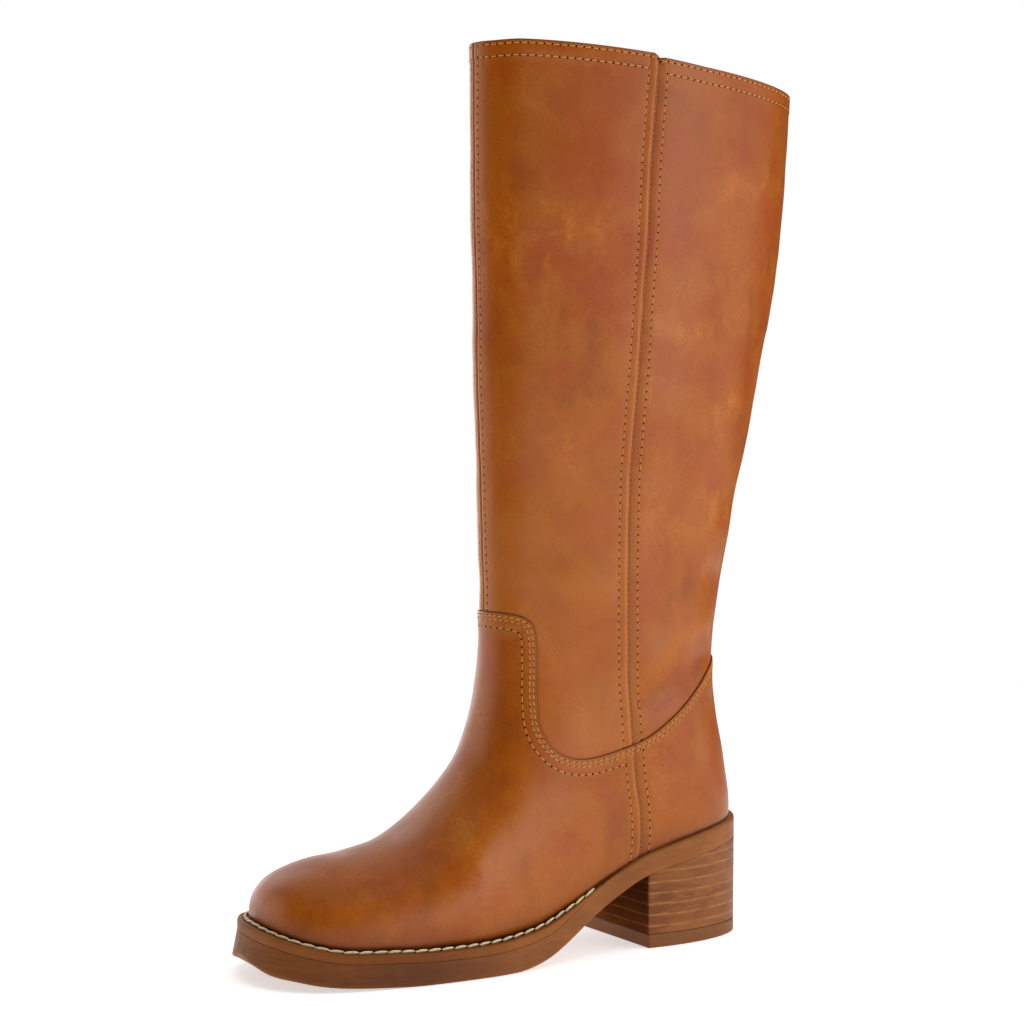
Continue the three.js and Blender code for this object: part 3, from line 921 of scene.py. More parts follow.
def add_node(
    tree: bpy.types.NodeTree,
    kind: str,
    inputs: dict,
    out: int | str = 0,
    **settings: object,
) -> bpy.types.NodeSocket | None:
    """Adds a node with its settings and links.

    Args:
        tree: the tree that gets it.
        kind: the node's type.
        inputs: for each input, by name or number, a value, a hex colour or an output to link.
        out: which of its outputs is wanted, by name or number.
        settings: the node's own settings.

    Returns:
        That output, or None from a node that has none.
    """
    node = tree.nodes.new(kind)
    for name, value in settings.items():
        setattr(node, name, value)
    for key, value in inputs.items():
        if isinstance(value, bpy.types.NodeSocket):
            tree.links.new(value, node.inputs[key])
        elif isinstance(value, str) and value.startswith("#"):
            node.inputs[key].default_value = linear(value)
        else:
            node.inputs[key].default_value = value
    return node.outputs[out] if node.outputs else None


@dataclass(frozen=True)
class Finish:
    """What a surface is made of and how it was worked."""
    name: str

    def make(self) -> bpy.types.Material:
        """Makes the material.

        Returns:
            A material with one shader, fed with the finish's own inputs.
        """
        material = bpy.data.materials.new(self.name)
        material.use_nodes = True
        tree = material.node_tree
        tree.nodes.clear()
        shader = add_node(tree, "ShaderNodeBsdfPrincipled", self.surface(partial(add_node, tree)))
        add_node(tree, "ShaderNodeOutputMaterial", {"Surface": shader})
        return material

    def surface(self, add: Adder) -> dict[str, object]:
        """The shader's inputs, by name; each kind of finish has its own."""
        raise NotImplementedError

    @staticmethod
    def lay(add: Adder, *patterns: tuple) -> list[bpy.types.NodeSocket]:
        """Lays cloudy patterns over the piece.

        Args:
            add: adds a node to the material.
            patterns: for each, how it is drawn out along the axes, the size of its blobs in
                millimetres, its detail, its roughness and its warp.

        Returns:
            The patterns, each between 0 and 1.
        """
        place = add("ShaderNodeTexCoord", {}, "Object")
        laid = []
        for stretch, size, detail, rough, warp in patterns:
            values = {"Scale": 1 / (size * METRE), "Detail": detail, "Roughness": rough, "Distortion": warp}
            values["Vector"] = add("ShaderNodeMapping", {"Vector": place, "Scale": stretch})
            laid.append(add("ShaderNodeTexNoise", values, "Fac"))
        return laid

    @staticmethod
    def paint(add: Adder, ground: str, *coats: tuple) -> bpy.types.NodeSocket:
        """Lays coats of colour over one another.

        Args:
            add: adds a node to the material.
            ground: the first colour.
            coats: for each, the share that it covers, and its colour.

        Returns:
            The colour.
        """
        colour = ground
        for share, tone in coats:
            colour = add("ShaderNodeMix", {0: share, 6: colour, 7: tone}, 2, data_type="RGBA")
        return colour

    @staticmethod
    def emboss(add: Adder, *patterns: tuple) -> bpy.types.NodeSocket:
        """Presses patterns into the surface.

        Args:
            add: adds a node to the material.
            patterns: for each, its heights, its depth in millimetres and its strength.

        Returns:
            The normal.
        """
        under = {}
        for height, depth, strength in patterns:
            values = {"Height": height, "Distance": depth * METRE, "Strength": strength}
            under = {"Normal": add("ShaderNodeBump", values | under)}
        return under["Normal"]


@dataclass(frozen=True)
class BurnishedCalf(Finish):
    """Burnished cognac calf leather, waxed and darker at its edges, with painted shade in its seam grooves,
    crease troughs and along the sole and the foot part's edge, and painted highlights on its ridges and lower
    leg.

    Full grain, coloured in the drum and polished, so the eye sees cloudy colour under a soft sheen.
    """
    name: str = "burnished_cognac_calf_leather"
    deep: str = "#8C4306"
    body: str = "#A2530A"
    warm: str = "#973E07"
    light: str = "#B4641A"
    # dark colour of burnished edges, also laid as painted shade
    edge: str = "#431B03"
    # pull-up colour of the veins, also laid as the foot's tone and as painted highlights
    pulled: str = "#BC6D27"
    cloud_mm: float = 38.0
    mottle_mm: float = 9.0
    blush_mm: float = 24.0
    vein_mm: float = 34.0
    dent_mm: float = 5.5
    speck_mm: float = 1.6
    pore_mm: float = 0.9        # real pores are 0.1 mm; drawn this coarse to show

    def surface(self, add: Adder) -> dict[str, object]:
        """The shader's inputs.

        Args:
            add: adds a node to the material.

        Returns:
            A value or an output for each input.
        """
        cloud, mottle, blush, veins, dents, specks, pores = self.lay(
            add,
            ((1, 1, 0.6), self.cloud_mm, 2, 0.45, 0.3),
            ((1, 1, 0.6), self.mottle_mm, 3, 0.55, 0.3),
            (EVEN, self.blush_mm, 2, 0.5, 0.2),
            ((0.8, 0.8, 1.5), self.vein_mm, 3, 0.5, 0.6),
            (EVEN, self.dent_mm, 3, 0.5, 0.0),
            (EVEN, self.speck_mm, 2, 0.6, 0.0),
            (EVEN, self.pore_mm, 2, 0.7, 0.0),
        )
        # the first value holds burnished edges and painted shade, the second the tone with painted highlights
        # and painted shade
        burnish, pull = (
            add("ShaderNodeAttribute", {}, "Fac", attribute_name=name) for name in ("burnish", "pull"))
        mixed = add("ShaderNodeMath", {0: cloud, 1: 0.54}, operation="MULTIPLY")
        mixed = add("ShaderNodeMath", {0: mottle, 1: 0.46, 2: mixed}, operation="MULTIPLY_ADD")
        off_vein = add("ShaderNodeMath", {0: veins, 1: 0.5}, operation="SUBTRACT")
        off_vein = add("ShaderNodeMath", {0: off_vein}, operation="ABSOLUTE")
        # for each: a value, its range, and the range that it is carried to
        plain, lighter, redder, speckled, vein, cloudy, darkened, lightened, ragged, sheen, dull = (
            add("ShaderNodeMapRange", dict(enumerate(row))) for row in (
                (mixed, 0.33, 0.47, 0, 1),
                (mixed, 0.54, 0.68, 0, 1),
                (blush, 0.42, 0.68, 0, 0.75),
                (specks, 0.3, 0.7, 0.90, 1.10),
                (off_vein, 0.020, 0, 0, 0.26),
                (cloud, 0.46, 0.60, 0, 1),
                (pull, 0, -0.4, 0, 0.5),
                (pull, 0, 1, 0, 0.75),
                (mottle, 0.3, 0.7, 0.8, 1.15),
                (mixed, 0.35, 0.65, 0.34, 0.28),
                (specks, 0.3, 0.7, -0.03, 0.05),
            ))
        vein = add("ShaderNodeMath", {0: vein, 1: cloudy}, operation="MULTIPLY")
        # burnished edges and painted shade in seam grooves and at joins, broken up by the mottle
        coat_share = add("ShaderNodeMath", {0: burnish, 1: ragged}, operation="MULTIPLY")
        coat_share = add("ShaderNodeMapRange", {0: coat_share, 4: 0.92})
        ground = self.paint(add, self.deep, (plain, self.body), (lighter, self.light), (redder, self.warm))
        ground = add("ShaderNodeVectorMath", {0: ground, "Scale": speckled}, operation="SCALE")
        # below 0 the second value lays the deep colour as painted shade in crease troughs and darker towards
        # the collar; above 0 the pulled colour as the foot's tone and painted highlights; then the edge
        # colour as burnish and painted shade
        coats = ((vein, self.pulled), (darkened, self.deep), (lightened, self.pulled), (coat_share, self.edge))
        return {
            "Base Color": self.paint(add, ground, *coats),
            "Roughness": add("ShaderNodeMath", {0: sheen, 1: dull}, operation="ADD"),
            "Normal": self.emboss(add, (pores, 0.05, 0.32), (dents, 0.16, 0.4)),
            "IOR": 1.48,
            "Specular IOR Level": 0.29,
        }


@dataclass(frozen=True)
class PlainFinish(Finish):
    """A matt finish with a little unevenness, for cut edges, threads and linings."""
    colour: str
    other: str
    blob_mm: float
    roughness: float = 0.7
    depth_mm: float = 0.05
    sheen: float = 0.0
    shine: float = 0.4

    def surface(self, add: Adder) -> dict[str, object]:
        """The shader's inputs.

        Args:
            add: adds a node to the material.

        Returns:
            A value or an output for each input.
        """
        blobs, uneven = self.lay(
            add, (EVEN, self.blob_mm, 3, 0.6, 0.0), (EVEN, self.blob_mm * 0.4, 2, 0.6, 0.0))
        share = add("ShaderNodeMapRange", {0: blobs, 1: 0.35, 2: 0.62})
        return {
            "Base Color": self.paint(add, self.other, (share, self.colour)),
            "Roughness": self.roughness,
            "Normal": self.emboss(add, (uneven, self.depth_mm, 0.6)),
            "Sheen Weight": self.sheen,
            "Specular IOR Level": self.shine,
        }


# Cut edges of the leather, stained dark: fibrous and matt.
CUT_EDGE = PlainFinish("stained_cut_leather_edge", "#7E4416", "#5E2E0C", 1.2, 0.75)
# Flesh side and lining: undyed pigskin with small pores, dry to the touch.
LINING = PlainFinish("natural_pigskin_lining", "#B98D5E", "#A67A4C", 3.0, 0.72, 0.08, 0.15)
# Bonded polyester thread, golden, with a slight gloss.
GOLD_THREAD = PlainFinish("golden_polyester_thread", "#D79A4A", "#B57730", 0.8, 0.5, 0.03)
# Waxed linen cord of the welt seam, ivory and slightly soiled.
WELT_CORD = PlainFinish("waxed_ivory_linen_cord", "#F4E5C2", "#D8C392", 0.9, 0.6, 0.05)
# Awl holes of the welt seam: dark discs as painted shade in the holes.
AWL_HOLE = PlainFinish("awl_hole_shadow", "#241003", "#160902", 0.5, 0.9, 0.0, 0.0, 0.0)
# Needle holes: the dark of a hole in leather.
NEEDLE_HOLE = PlainFinish("needle_hole_shadow", "#431803", "#2A0D01", 0.5, 0.9, 0.0, 0.0, 0.0)


@dataclass(frozen=True)
class EdgeBand(Finish):
    """Edge and tread of the sole: trimmed, stained brown and waxed, with fine lines along it.

    It reads the value "band", which is 0 at the foot of the edge and 1 at its top.
    """
    body: str
    dark: str
    light: str
    rim: str
    roughness: float = 0.42
    line_mm: float = 1.1
    patch_mm: float = 16.0
    fibre_mm: float = 0.9       # real fibres are finer; drawn this coarse to show
    waist: str = "#A0622F"      # lighter behind the forefoot and at the toe
    waist_span: tuple[float, float] = (0.160, 0.085)    # from here, in metres, it is full
    toe_span: tuple[float, float] = (0.190, 0.222)

    def surface(self, add: Adder) -> dict[str, object]:
        """The shader's inputs.

        Args:
            add: adds a node to the material.

        Returns:
            A value or an output for each input.
        """
        lines, patches, fibres = self.lay(
            add,
            ((0.07, 0.07, 1), self.line_mm, 3, 0.6, 0.2),
            ((0.5, 0.5, 1.4), self.patch_mm, 3, 0.55, 0.4),
            (EVEN, self.fibre_mm, 2, 0.6, 0.0),
        )
        mixed = add("ShaderNodeMath", {0: patches, 1: 0.65}, operation="MULTIPLY")
        mixed = add("ShaderNodeMath", {0: lines, 1: 0.35, 2: mixed}, operation="MULTIPLY_ADD")
        band = add("ShaderNodeAttribute", {}, "Fac", attribute_name="band")
        ahead = add("ShaderNodeSeparateXYZ", {0: add("ShaderNodeTexCoord", {}, "Object")})
        # for each: a value, its range, and the range that it is carried to
        plain, lighter, foot, top, waist, toe, streak, dull = (
            add("ShaderNodeMapRange", dict(enumerate(row))) for row in (
                (mixed, 0.34, 0.52, 0, 1),
                (mixed, 0.52, 0.74, 0, 1),
                (band, 0.14, 0, 0, 0.75),
                (band, 0.55, 0.95, 0, 0.45),
                (ahead, *self.waist_span, 0, 0.7),
                (ahead, *self.toe_span, 0, 0.4),
                (mixed, 0.38, 0.62, 0.7, 1.15),
                (fibres, 0.3, 0.7, -0.04, 0.08),
            ))
        # lighter behind the forefoot and at the toe, broken into streaks
        coat_share = add("ShaderNodeMath", {0: waist, 1: toe}, operation="ADD")
        coat_share = add("ShaderNodeMath", {0: coat_share, 1: streak}, operation="MULTIPLY")
        # painted highlight: the light coat towards the top of the edge
        coats = (
            (plain, self.body), (lighter, self.light), (foot, self.rim), (top, self.light),
            (coat_share, self.waist))
        return {
            "Base Color": self.paint(add, self.dark, *coats),
            "Roughness": add("ShaderNodeMath", {0: self.roughness, 1: dull}, operation="ADD"),
            "Normal": self.emboss(add, (lines, 0.06, 0.3), (fibres, 0.05, 0.4)),
            "Specular IOR Level": 0.12,
        }


# Moulded brown rubber, its edge trimmed and waxed: dull satin with fine level lines.
SOLE_RUBBER = EdgeBand("waxed_brown_rubber_sole", "#683A1D", "#5E3419", "#7C4722", "#6E4220")
# Vegetable-tanned leather, stained and waxed: warmer than the rubber, with finer lines.
WELT_STRIP = EdgeBand("veg_tanned_leather_welt", "#743F17", "#683814", "#804A1D", "#6A3B16", 0.46, 0.8)
# Moulded rubber of the heel's wearing piece: lighter and plainer.
LIFT_RUBBER = EdgeBand(
    "brown_rubber_top_lift", "#784A24", "#6A4020", "#80502A", "#5A3818", 0.45, 1.6, waist="#80502C")


@dataclass(frozen=True)
class StackedLeather(Finish):
    """Heel of stacked leather lifts, sanded and waxed: thin pale joints between browns."""
    name: str = "stacked_leather_heel"
    body: str = "#93592F"
    dark: str = "#764423"
    pale: str = "#AC7642"
    breast_shade: str = "#341709"       # the face at the breast is painted darker, as painted shade where it faces the toe
    breast_at: float = 30.7     # its x
    lift_mm: float = 5.2
    waver_mm: float = 0.35      # how far a joint strays from its level
    roughness: float = 0.46

    def surface(self, add: Adder) -> dict[str, object]:
        """The shader's inputs.

        Args:
            add: adds a node to the material.

        Returns:
            A value or an output for each input.
        """
        waves_, breaks, grain, patches = self.lay(
            add,
            ((1, 1, 0.3), 26, 2, 0.5, 0.0),
            ((1, 1, 0.5), 9, 3, 0.6, 0.0),
            ((0.10, 0.10, 1), 0.9, 3, 0.65, 0.3),
            ((0.7, 0.7, 1.6), 14, 2, 0.5, 0.0),
        )
        place = add("ShaderNodeTexCoord", {}, "Object")
        ahead, height = (add("ShaderNodeSeparateXYZ", {0: place}, axis) for axis in (0, 2))
        waver = self.waver_mm * METRE
        waver = add("ShaderNodeMapRange", {0: waves_, 1: 0.3, 2: 0.7, 3: -waver, 4: waver})
        steps = add("ShaderNodeMath", {0: height, 1: waver}, operation="ADD")
        steps = add("ShaderNodeMath", {0: steps, 1: self.lift_mm * METRE}, operation="DIVIDE")
        within, lift = (add("ShaderNodeMath", {0: steps}, operation=how) for how in ("FRACT", "FLOOR"))
        off_middle = add("ShaderNodeMath", {0: within, 1: 0.5}, operation="SUBTRACT")
        off_middle = add("ShaderNodeMath", {0: off_middle}, operation="ABSOLUTE")
        tone = add("ShaderNodeTexWhiteNoise", {"W": lift}, "Value", noise_dimensions="1D")
        mixed = add("ShaderNodeMath", {0: patches, 1: 0.55}, operation="MULTIPLY")
        mixed = add("ShaderNodeMath", {0: grain, 1: 0.45, 2: mixed}, operation="MULTIPLY_ADD")
        breast = self.breast_at * METRE
        # for each: a value, its range, and the range that it is carried to
        joint, broken, plain, darker, breast_shade_share, shine = (
            add("ShaderNodeMapRange", dict(enumerate(row))) for row in (
                (off_middle, 0.35, 0.475, 0, 1),
                (breaks, 0.36, 0.6, 0.105, 0.7),
                (mixed, 0.40, 0.57, 0, 1),
                (tone, 0, 1, 0, 0.30),
                (ahead, breast, breast + 0.5 * METRE, 0, 0.85),
                (ahead, breast - 0.3 * METRE, breast, 0.13, 0),
            ))
        pale = add("ShaderNodeMath", {0: joint, 1: broken}, operation="MULTIPLY")
        sunk = add("ShaderNodeMath", {0: 0.0, 1: joint}, operation="SUBTRACT")
        # the breast's dark coat is painted shade
        coats = ((plain, self.body), (darker, self.dark), (pale, self.pale), (breast_shade_share, self.breast_shade))
        return {
            "Base Color": self.paint(add, self.dark, *coats),
            "Roughness": self.roughness,
            "Normal": self.emboss(add, (grain, 0.10, 0.35), (sunk, 0.12, 0.5)),
            "Specular IOR Level": shine,
        }


@dataclass(frozen=True)
class StudioTable(Finish):
    """Matt white acrylic table, lit softly from below so that it stays white round the shadow.

    Its face is sanded, so the eye sees no highlight and no reflection on it.
    """
    name: str = "white_acrylic_table"
    colour: str = "#FAFAFA"
    glow: float = 0.55

    def surface(self, add: Adder) -> dict[str, object]:
        """The shader's inputs, all plain."""
        return {"Base Color": self.colour, "Roughness": 0.9, "Specular IOR Level": 0.1,
                "Emission Color": "#FFFFFF", "Emission Strength": self.glow}


# ------------------------------------------------------------------ stitches


@dataclass(frozen=True)
class Thread:
    """A kind of sewn row."""
    pitch: float            # from hole to hole
    thickness: float
    cover: float            # share of the pitch that the thread shows
    sink: float = 0.0       # how deep the thread's middle lies under the leather's face
    slant: float = 0.0      # degrees that each stitch turns across its row
    hole: float = 0.0       # size of the needle holes, none at 0


TOP_STITCH = Thread(pitch=3.75, thickness=0.54, cover=0.64, hole=1.22)
EDGE_STITCH = Thread(pitch=3.05, thickness=0.58, cover=0.70, slant=7.0, hole=0.98)
SEAM_STITCH = Thread(pitch=2.6, thickness=0.28, cover=0.55, sink=0.06)
WELT_STITCH = Thread(pitch=6.6, thickness=1.2, cover=0.73, slant=8.0, hole=1.6)


@dataclass(frozen=True)
class Row:
    """Stitches along the lines of a skin where a value has a certain size."""
    name: str                               # the value
    at: float                               # its size
    thread: Thread
    ranges: dict[str, tuple[float, float]]  # of other values, in which the row runs


UNDER_EDGE = {"inside": (EDGE_ROWS_AT[1] + 0.8, FAR)}
UNDER_ROWS = {"inside": (INNER_ROW_AT + 0.8, FAR)}
UNDER_COLLAR = {"collar": (COLLAR_ROWS_AT[1], FAR), "joint": (0.4, FAR)}
FOOT_ROWS = (
    Row("inside", EDGE_ROWS_AT[0], EDGE_STITCH, {}),
    Row("inside", EDGE_ROWS_AT[1], EDGE_STITCH, {}),
    Row("inside", INNER_ROW_AT, TOP_STITCH, {"side": (SIDE_ROWS_AT, FAR)}),
    Row("side", -SIDE_ROWS_AT, TOP_STITCH, UNDER_EDGE | {"sole": (1.2, FAR)}),
    Row("side", SIDE_ROWS_AT, TOP_STITCH, UNDER_ROWS | {"sole": (1.2, FAR)}),
    Row("side", -0.35, SEAM_STITCH, UNDER_EDGE | {"sole": (2.5, FAR)}),
)
LEG_ROWS = (
    Row("collar", COLLAR_ROWS_AT[0], TOP_STITCH, {"side": (0.8, FAR)}),
    Row("collar", COLLAR_ROWS_AT[0], TOP_STITCH, {"side": (-FAR, -0.8)}),
    Row("collar", COLLAR_ROWS_AT[1], TOP_STITCH, {"side": (SIDE_ROWS_AT, FAR)}),
    Row("collar", COLLAR_ROWS_AT[1], TOP_STITCH, {"side": (-FAR, -SIDE_ROWS_AT)}),
    Row("side", -SIDE_ROWS_AT, TOP_STITCH, UNDER_COLLAR),
    Row("side", SIDE_ROWS_AT, TOP_STITCH, UNDER_COLLAR),
    Row("side", -0.35, SEAM_STITCH, {"collar": (3.0, FAR), "joint": (0.8, FAR)}),
    Row("front", -FRONT_ROWS_AT, TOP_STITCH, UNDER_COLLAR),
    Row("front", FRONT_ROWS_AT, TOP_STITCH, UNDER_COLLAR),
)


@dataclass
class Stitches:
    """Places of stitches and needle holes, gathered row by row."""
    threads: list[np.ndarray] = field(default_factory=list)
    holes: list[np.ndarray] = field(default_factory=list)

    def sew(self, line: np.ndarray, thread: Thread) -> None:
        """Sews one row.

        Args:
            line: rows of place and normal on the leather's outer face.
            thread: how it is sewn.
        """
        run = np.linalg.norm(np.diff(line[:, :3], axis=0), axis=1).sum()
        if run < thread.pitch * 1.5:
            return
        marks = walk(line[:, :6], thread.pitch)
        up = unit(marks[:, 3:6])
        middle = (marks[1:, :3] + marks[:-1, :3]) / 2
        middle_up = unit(up[1:] + up[:-1])
        along = unit(marks[1:, :3] - marks[:-1, :3])
        side = np.cross(middle_up, along)
        turn = math.radians(thread.slant)
        along = along * math.cos(turn) + side * math.sin(turn)
        length = np.linalg.norm(np.diff(marks[:, :3], axis=0), axis=1) * thread.cover
        thick = np.full(len(middle), thread.thickness)
        centre = middle - middle_up * thread.sink
        self.threads.append(np.column_stack([centre, middle_up, along, length, thick, thick]))
        if thread.hole:
            way = np.vstack([along, along[-1:]])
            wide = np.full(len(marks), thread.hole)
            place = marks[:, :3] + up * 0.02
            self.holes.append(np.column_stack([place, up, way, wide * 1.25, wide, wide]))


def dotted(name: str, table: np.ndarray) -> bpy.types.Object:
    """Makes the points that shapes are set on.

    Args:
        name: the object's name.
        table: rows of place, up, along and size, in millimetres.

    Returns:
        A mesh of loose points, with these as attributes.
    """
    mesh = bpy.data.meshes.new(name)
    mesh.from_pydata((table[:, :3] * METRE).tolist(), [], [])
    for key, first, unit_size in (("up", 3, 1), ("along", 6, 1), ("size", 9, METRE)):
        vectors = (table[:, first:first + 3] * unit_size).astype(np.float32)
        mesh.attributes.new(key, "FLOAT_VECTOR", "POINT").data.foreach_set("vector", vectors.ravel())
    dots = bpy.data.objects.new(name, mesh)
    bpy.context.scene.collection.objects.link(dots)
    return dots


class Setting(Enum):
    """What a tree sets on each point."""
    STITCH = "stitch"
    HOLE = "hole"


@dataclass(frozen=True)
class SettingTree:
    """Geometry Nodes tree that sets a stitch or a needle hole on each loose point."""
    what: Setting
    sides: int = 6          # round the thread
    steps: int = 6          # along it
    seed: int = 11

    def build(self) -> bpy.types.NodeTree:
        """Builds the tree.

        Returns:
            The tree, with named inputs for its finish, its unevenness and its seed.
        """
        tree = bpy.data.node_groups.new("set_" + self.what.value, "GeometryNodeTree")
        for name, way, kind in (
            ("Geometry", "INPUT", "Geometry"), ("Finish", "INPUT", "Material"),
            ("Unevenness", "INPUT", "Float"), ("Seed", "INPUT", "Int"),
            ("Geometry", "OUTPUT", "Geometry"),
        ):
            tree.interface.new_socket(name, in_out=way, socket_type="NodeSocket" + kind)
        add = partial(add_node, tree)
        given = tree.nodes.new("NodeGroupInput").outputs
        shape = self.thread_shape(add) if self.what is Setting.STITCH else self.hole_shape(add)
        up, along, size = (
            add("GeometryNodeInputNamedAttribute", {"Name": name}, data_type="FLOAT_VECTOR")
            for name in ("up", "along", "size"))
        turn = add("FunctionNodeAxesToRotation", {0: along, 1: up}, primary_axis="X", secondary_axis="Z")
        least, most = (
            add("ShaderNodeMath", {0: 1.0, 1: given["Unevenness"]}, operation=how)
            for how in ("SUBTRACT", "ADD"))
        bounds = {2: least, 3: most, "Seed": given["Seed"]}
        random = add("FunctionNodeRandomValue", bounds, 1, data_type="FLOAT")
        vary = add("ShaderNodeCombineXYZ", {0: random, 1: 1.0, 2: 1.0})
        scale = add("ShaderNodeVectorMath", {0: size, 1: vary}, operation="MULTIPLY")
        placing = {"Points": given["Geometry"], "Instance": shape, "Rotation": turn, "Scale": scale}
        real = add("GeometryNodeRealizeInstances", {0: add("GeometryNodeInstanceOnPoints", placing)})
        smooth = add("GeometryNodeSetShadeSmooth", {0: real})
        add("NodeGroupOutput", {0: add("GeometryNodeSetMaterial", {0: smooth, "Material": given["Finish"]})})
        return tree

    def thread_shape(self, add: Adder) -> bpy.types.NodeSocket:
        """Shapes one stitch.

        Args:
            add: adds a node to the tree.

        Returns:
            A thread of length and width 1 that arches up and narrows into its holes.
        """
        line = add("GeometryNodeCurvePrimitiveLine", {"Start": (-0.5, 0, 0), "End": (0.5, 0, 0)})
        fine = add("GeometryNodeResampleCurve", {0: line, "Count": self.steps + 1})
        factor = add("GeometryNodeSplineParameter", {}, "Factor")
        across = add("ShaderNodeMath", {0: factor, 1: 2.0, 2: -1.0}, operation="MULTIPLY_ADD")
        square = add("ShaderNodeMath", {0: across, 1: across}, operation="MULTIPLY")
        fourth = add("ShaderNodeMath", {0: square, 1: square}, operation="MULTIPLY")
        rise = add("ShaderNodeMath", {0: square, 1: -0.62, 2: 0.20}, operation="MULTIPLY_ADD")
        girth = add("ShaderNodeMath", {0: fourth, 1: -0.36, 2: 0.5}, operation="MULTIPLY_ADD")
        lift = add("ShaderNodeCombineXYZ", {2: rise})
        bent = add("GeometryNodeSetPosition", {0: fine, "Offset": lift})
        ring = add("GeometryNodeCurvePrimitiveCircle", {"Resolution": self.sides, "Radius": 1.0})
        parts = {"Curve": bent, "Profile Curve": ring, "Scale": girth, "Fill Caps": True}
        return add("GeometryNodeCurveToMesh", parts)

    @staticmethod
    def hole_shape(add: Adder) -> bpy.types.NodeSocket:
        """One needle hole of length and width 1: a dark dish, almost flush with the leather."""
        ball = add("GeometryNodeMeshUVSphere", {"Segments": 8, "Rings": 4, "Radius": 0.5})
        return add("GeometryNodeTransform", {0: ball, "Scale": (1, 1, 0.16)})

    def grow(
        self, name: str, table: np.ndarray, finish: bpy.types.Material, unevenness: float,
    ) -> bpy.types.Object:
        """Sets the shapes on their points and turns the result into a plain mesh.

        Args:
            name: the piece's name.
            table: rows of place, up, along and size.
            finish: its material.
            unevenness: how much lengths vary, as a share.

        Returns:
            The piece, with no modifier left on it.
        """
        dots = dotted(name + "_points", table)
        modifier = dots.modifiers.new("set", "NODES")
        modifier.node_group = tree = self.build()
        wanted = {"Finish": finish, "Unevenness": unevenness, "Seed": self.seed}
        for item in tree.interface.items_tree:
            if item.in_out == "INPUT" and item.name in wanted:
                modifier[item.identifier] = wanted[item.name]
        dots.update_tag()
        evaluated = dots.evaluated_get(bpy.context.evaluated_depsgraph_get())
        mesh = bpy.data.meshes.new_from_object(evaluated)
        mesh.name = name
        dots.modifiers.remove(modifier)
        bpy.data.objects.remove(dots)
        piece = bpy.data.objects.new(name, mesh)
        bpy.context.scene.collection.objects.link(piece)
        return piece


# ------------------------------------------------------------------ sub-assemblies


def settle(piece: bpy.types.Object, slot: str, *nodes: str) -> None:
    """Makes a piece ride with the boot and reports it.

    Args:
        piece: the piece.
        slot: the name of a material slot; not used.
        nodes: the CAD nodes that it stands for, if any.
    """
    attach(piece, BODY)
    if nodes:
        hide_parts(*nodes)
    faces = len(piece.data.loop_triangles) or sum(len(p.vertices) - 2 for p in piece.data.polygons)
    LOG.info("%s: %d triangles%s", piece.name, faces, f", for {', '.join(nodes)}" if nodes else "")


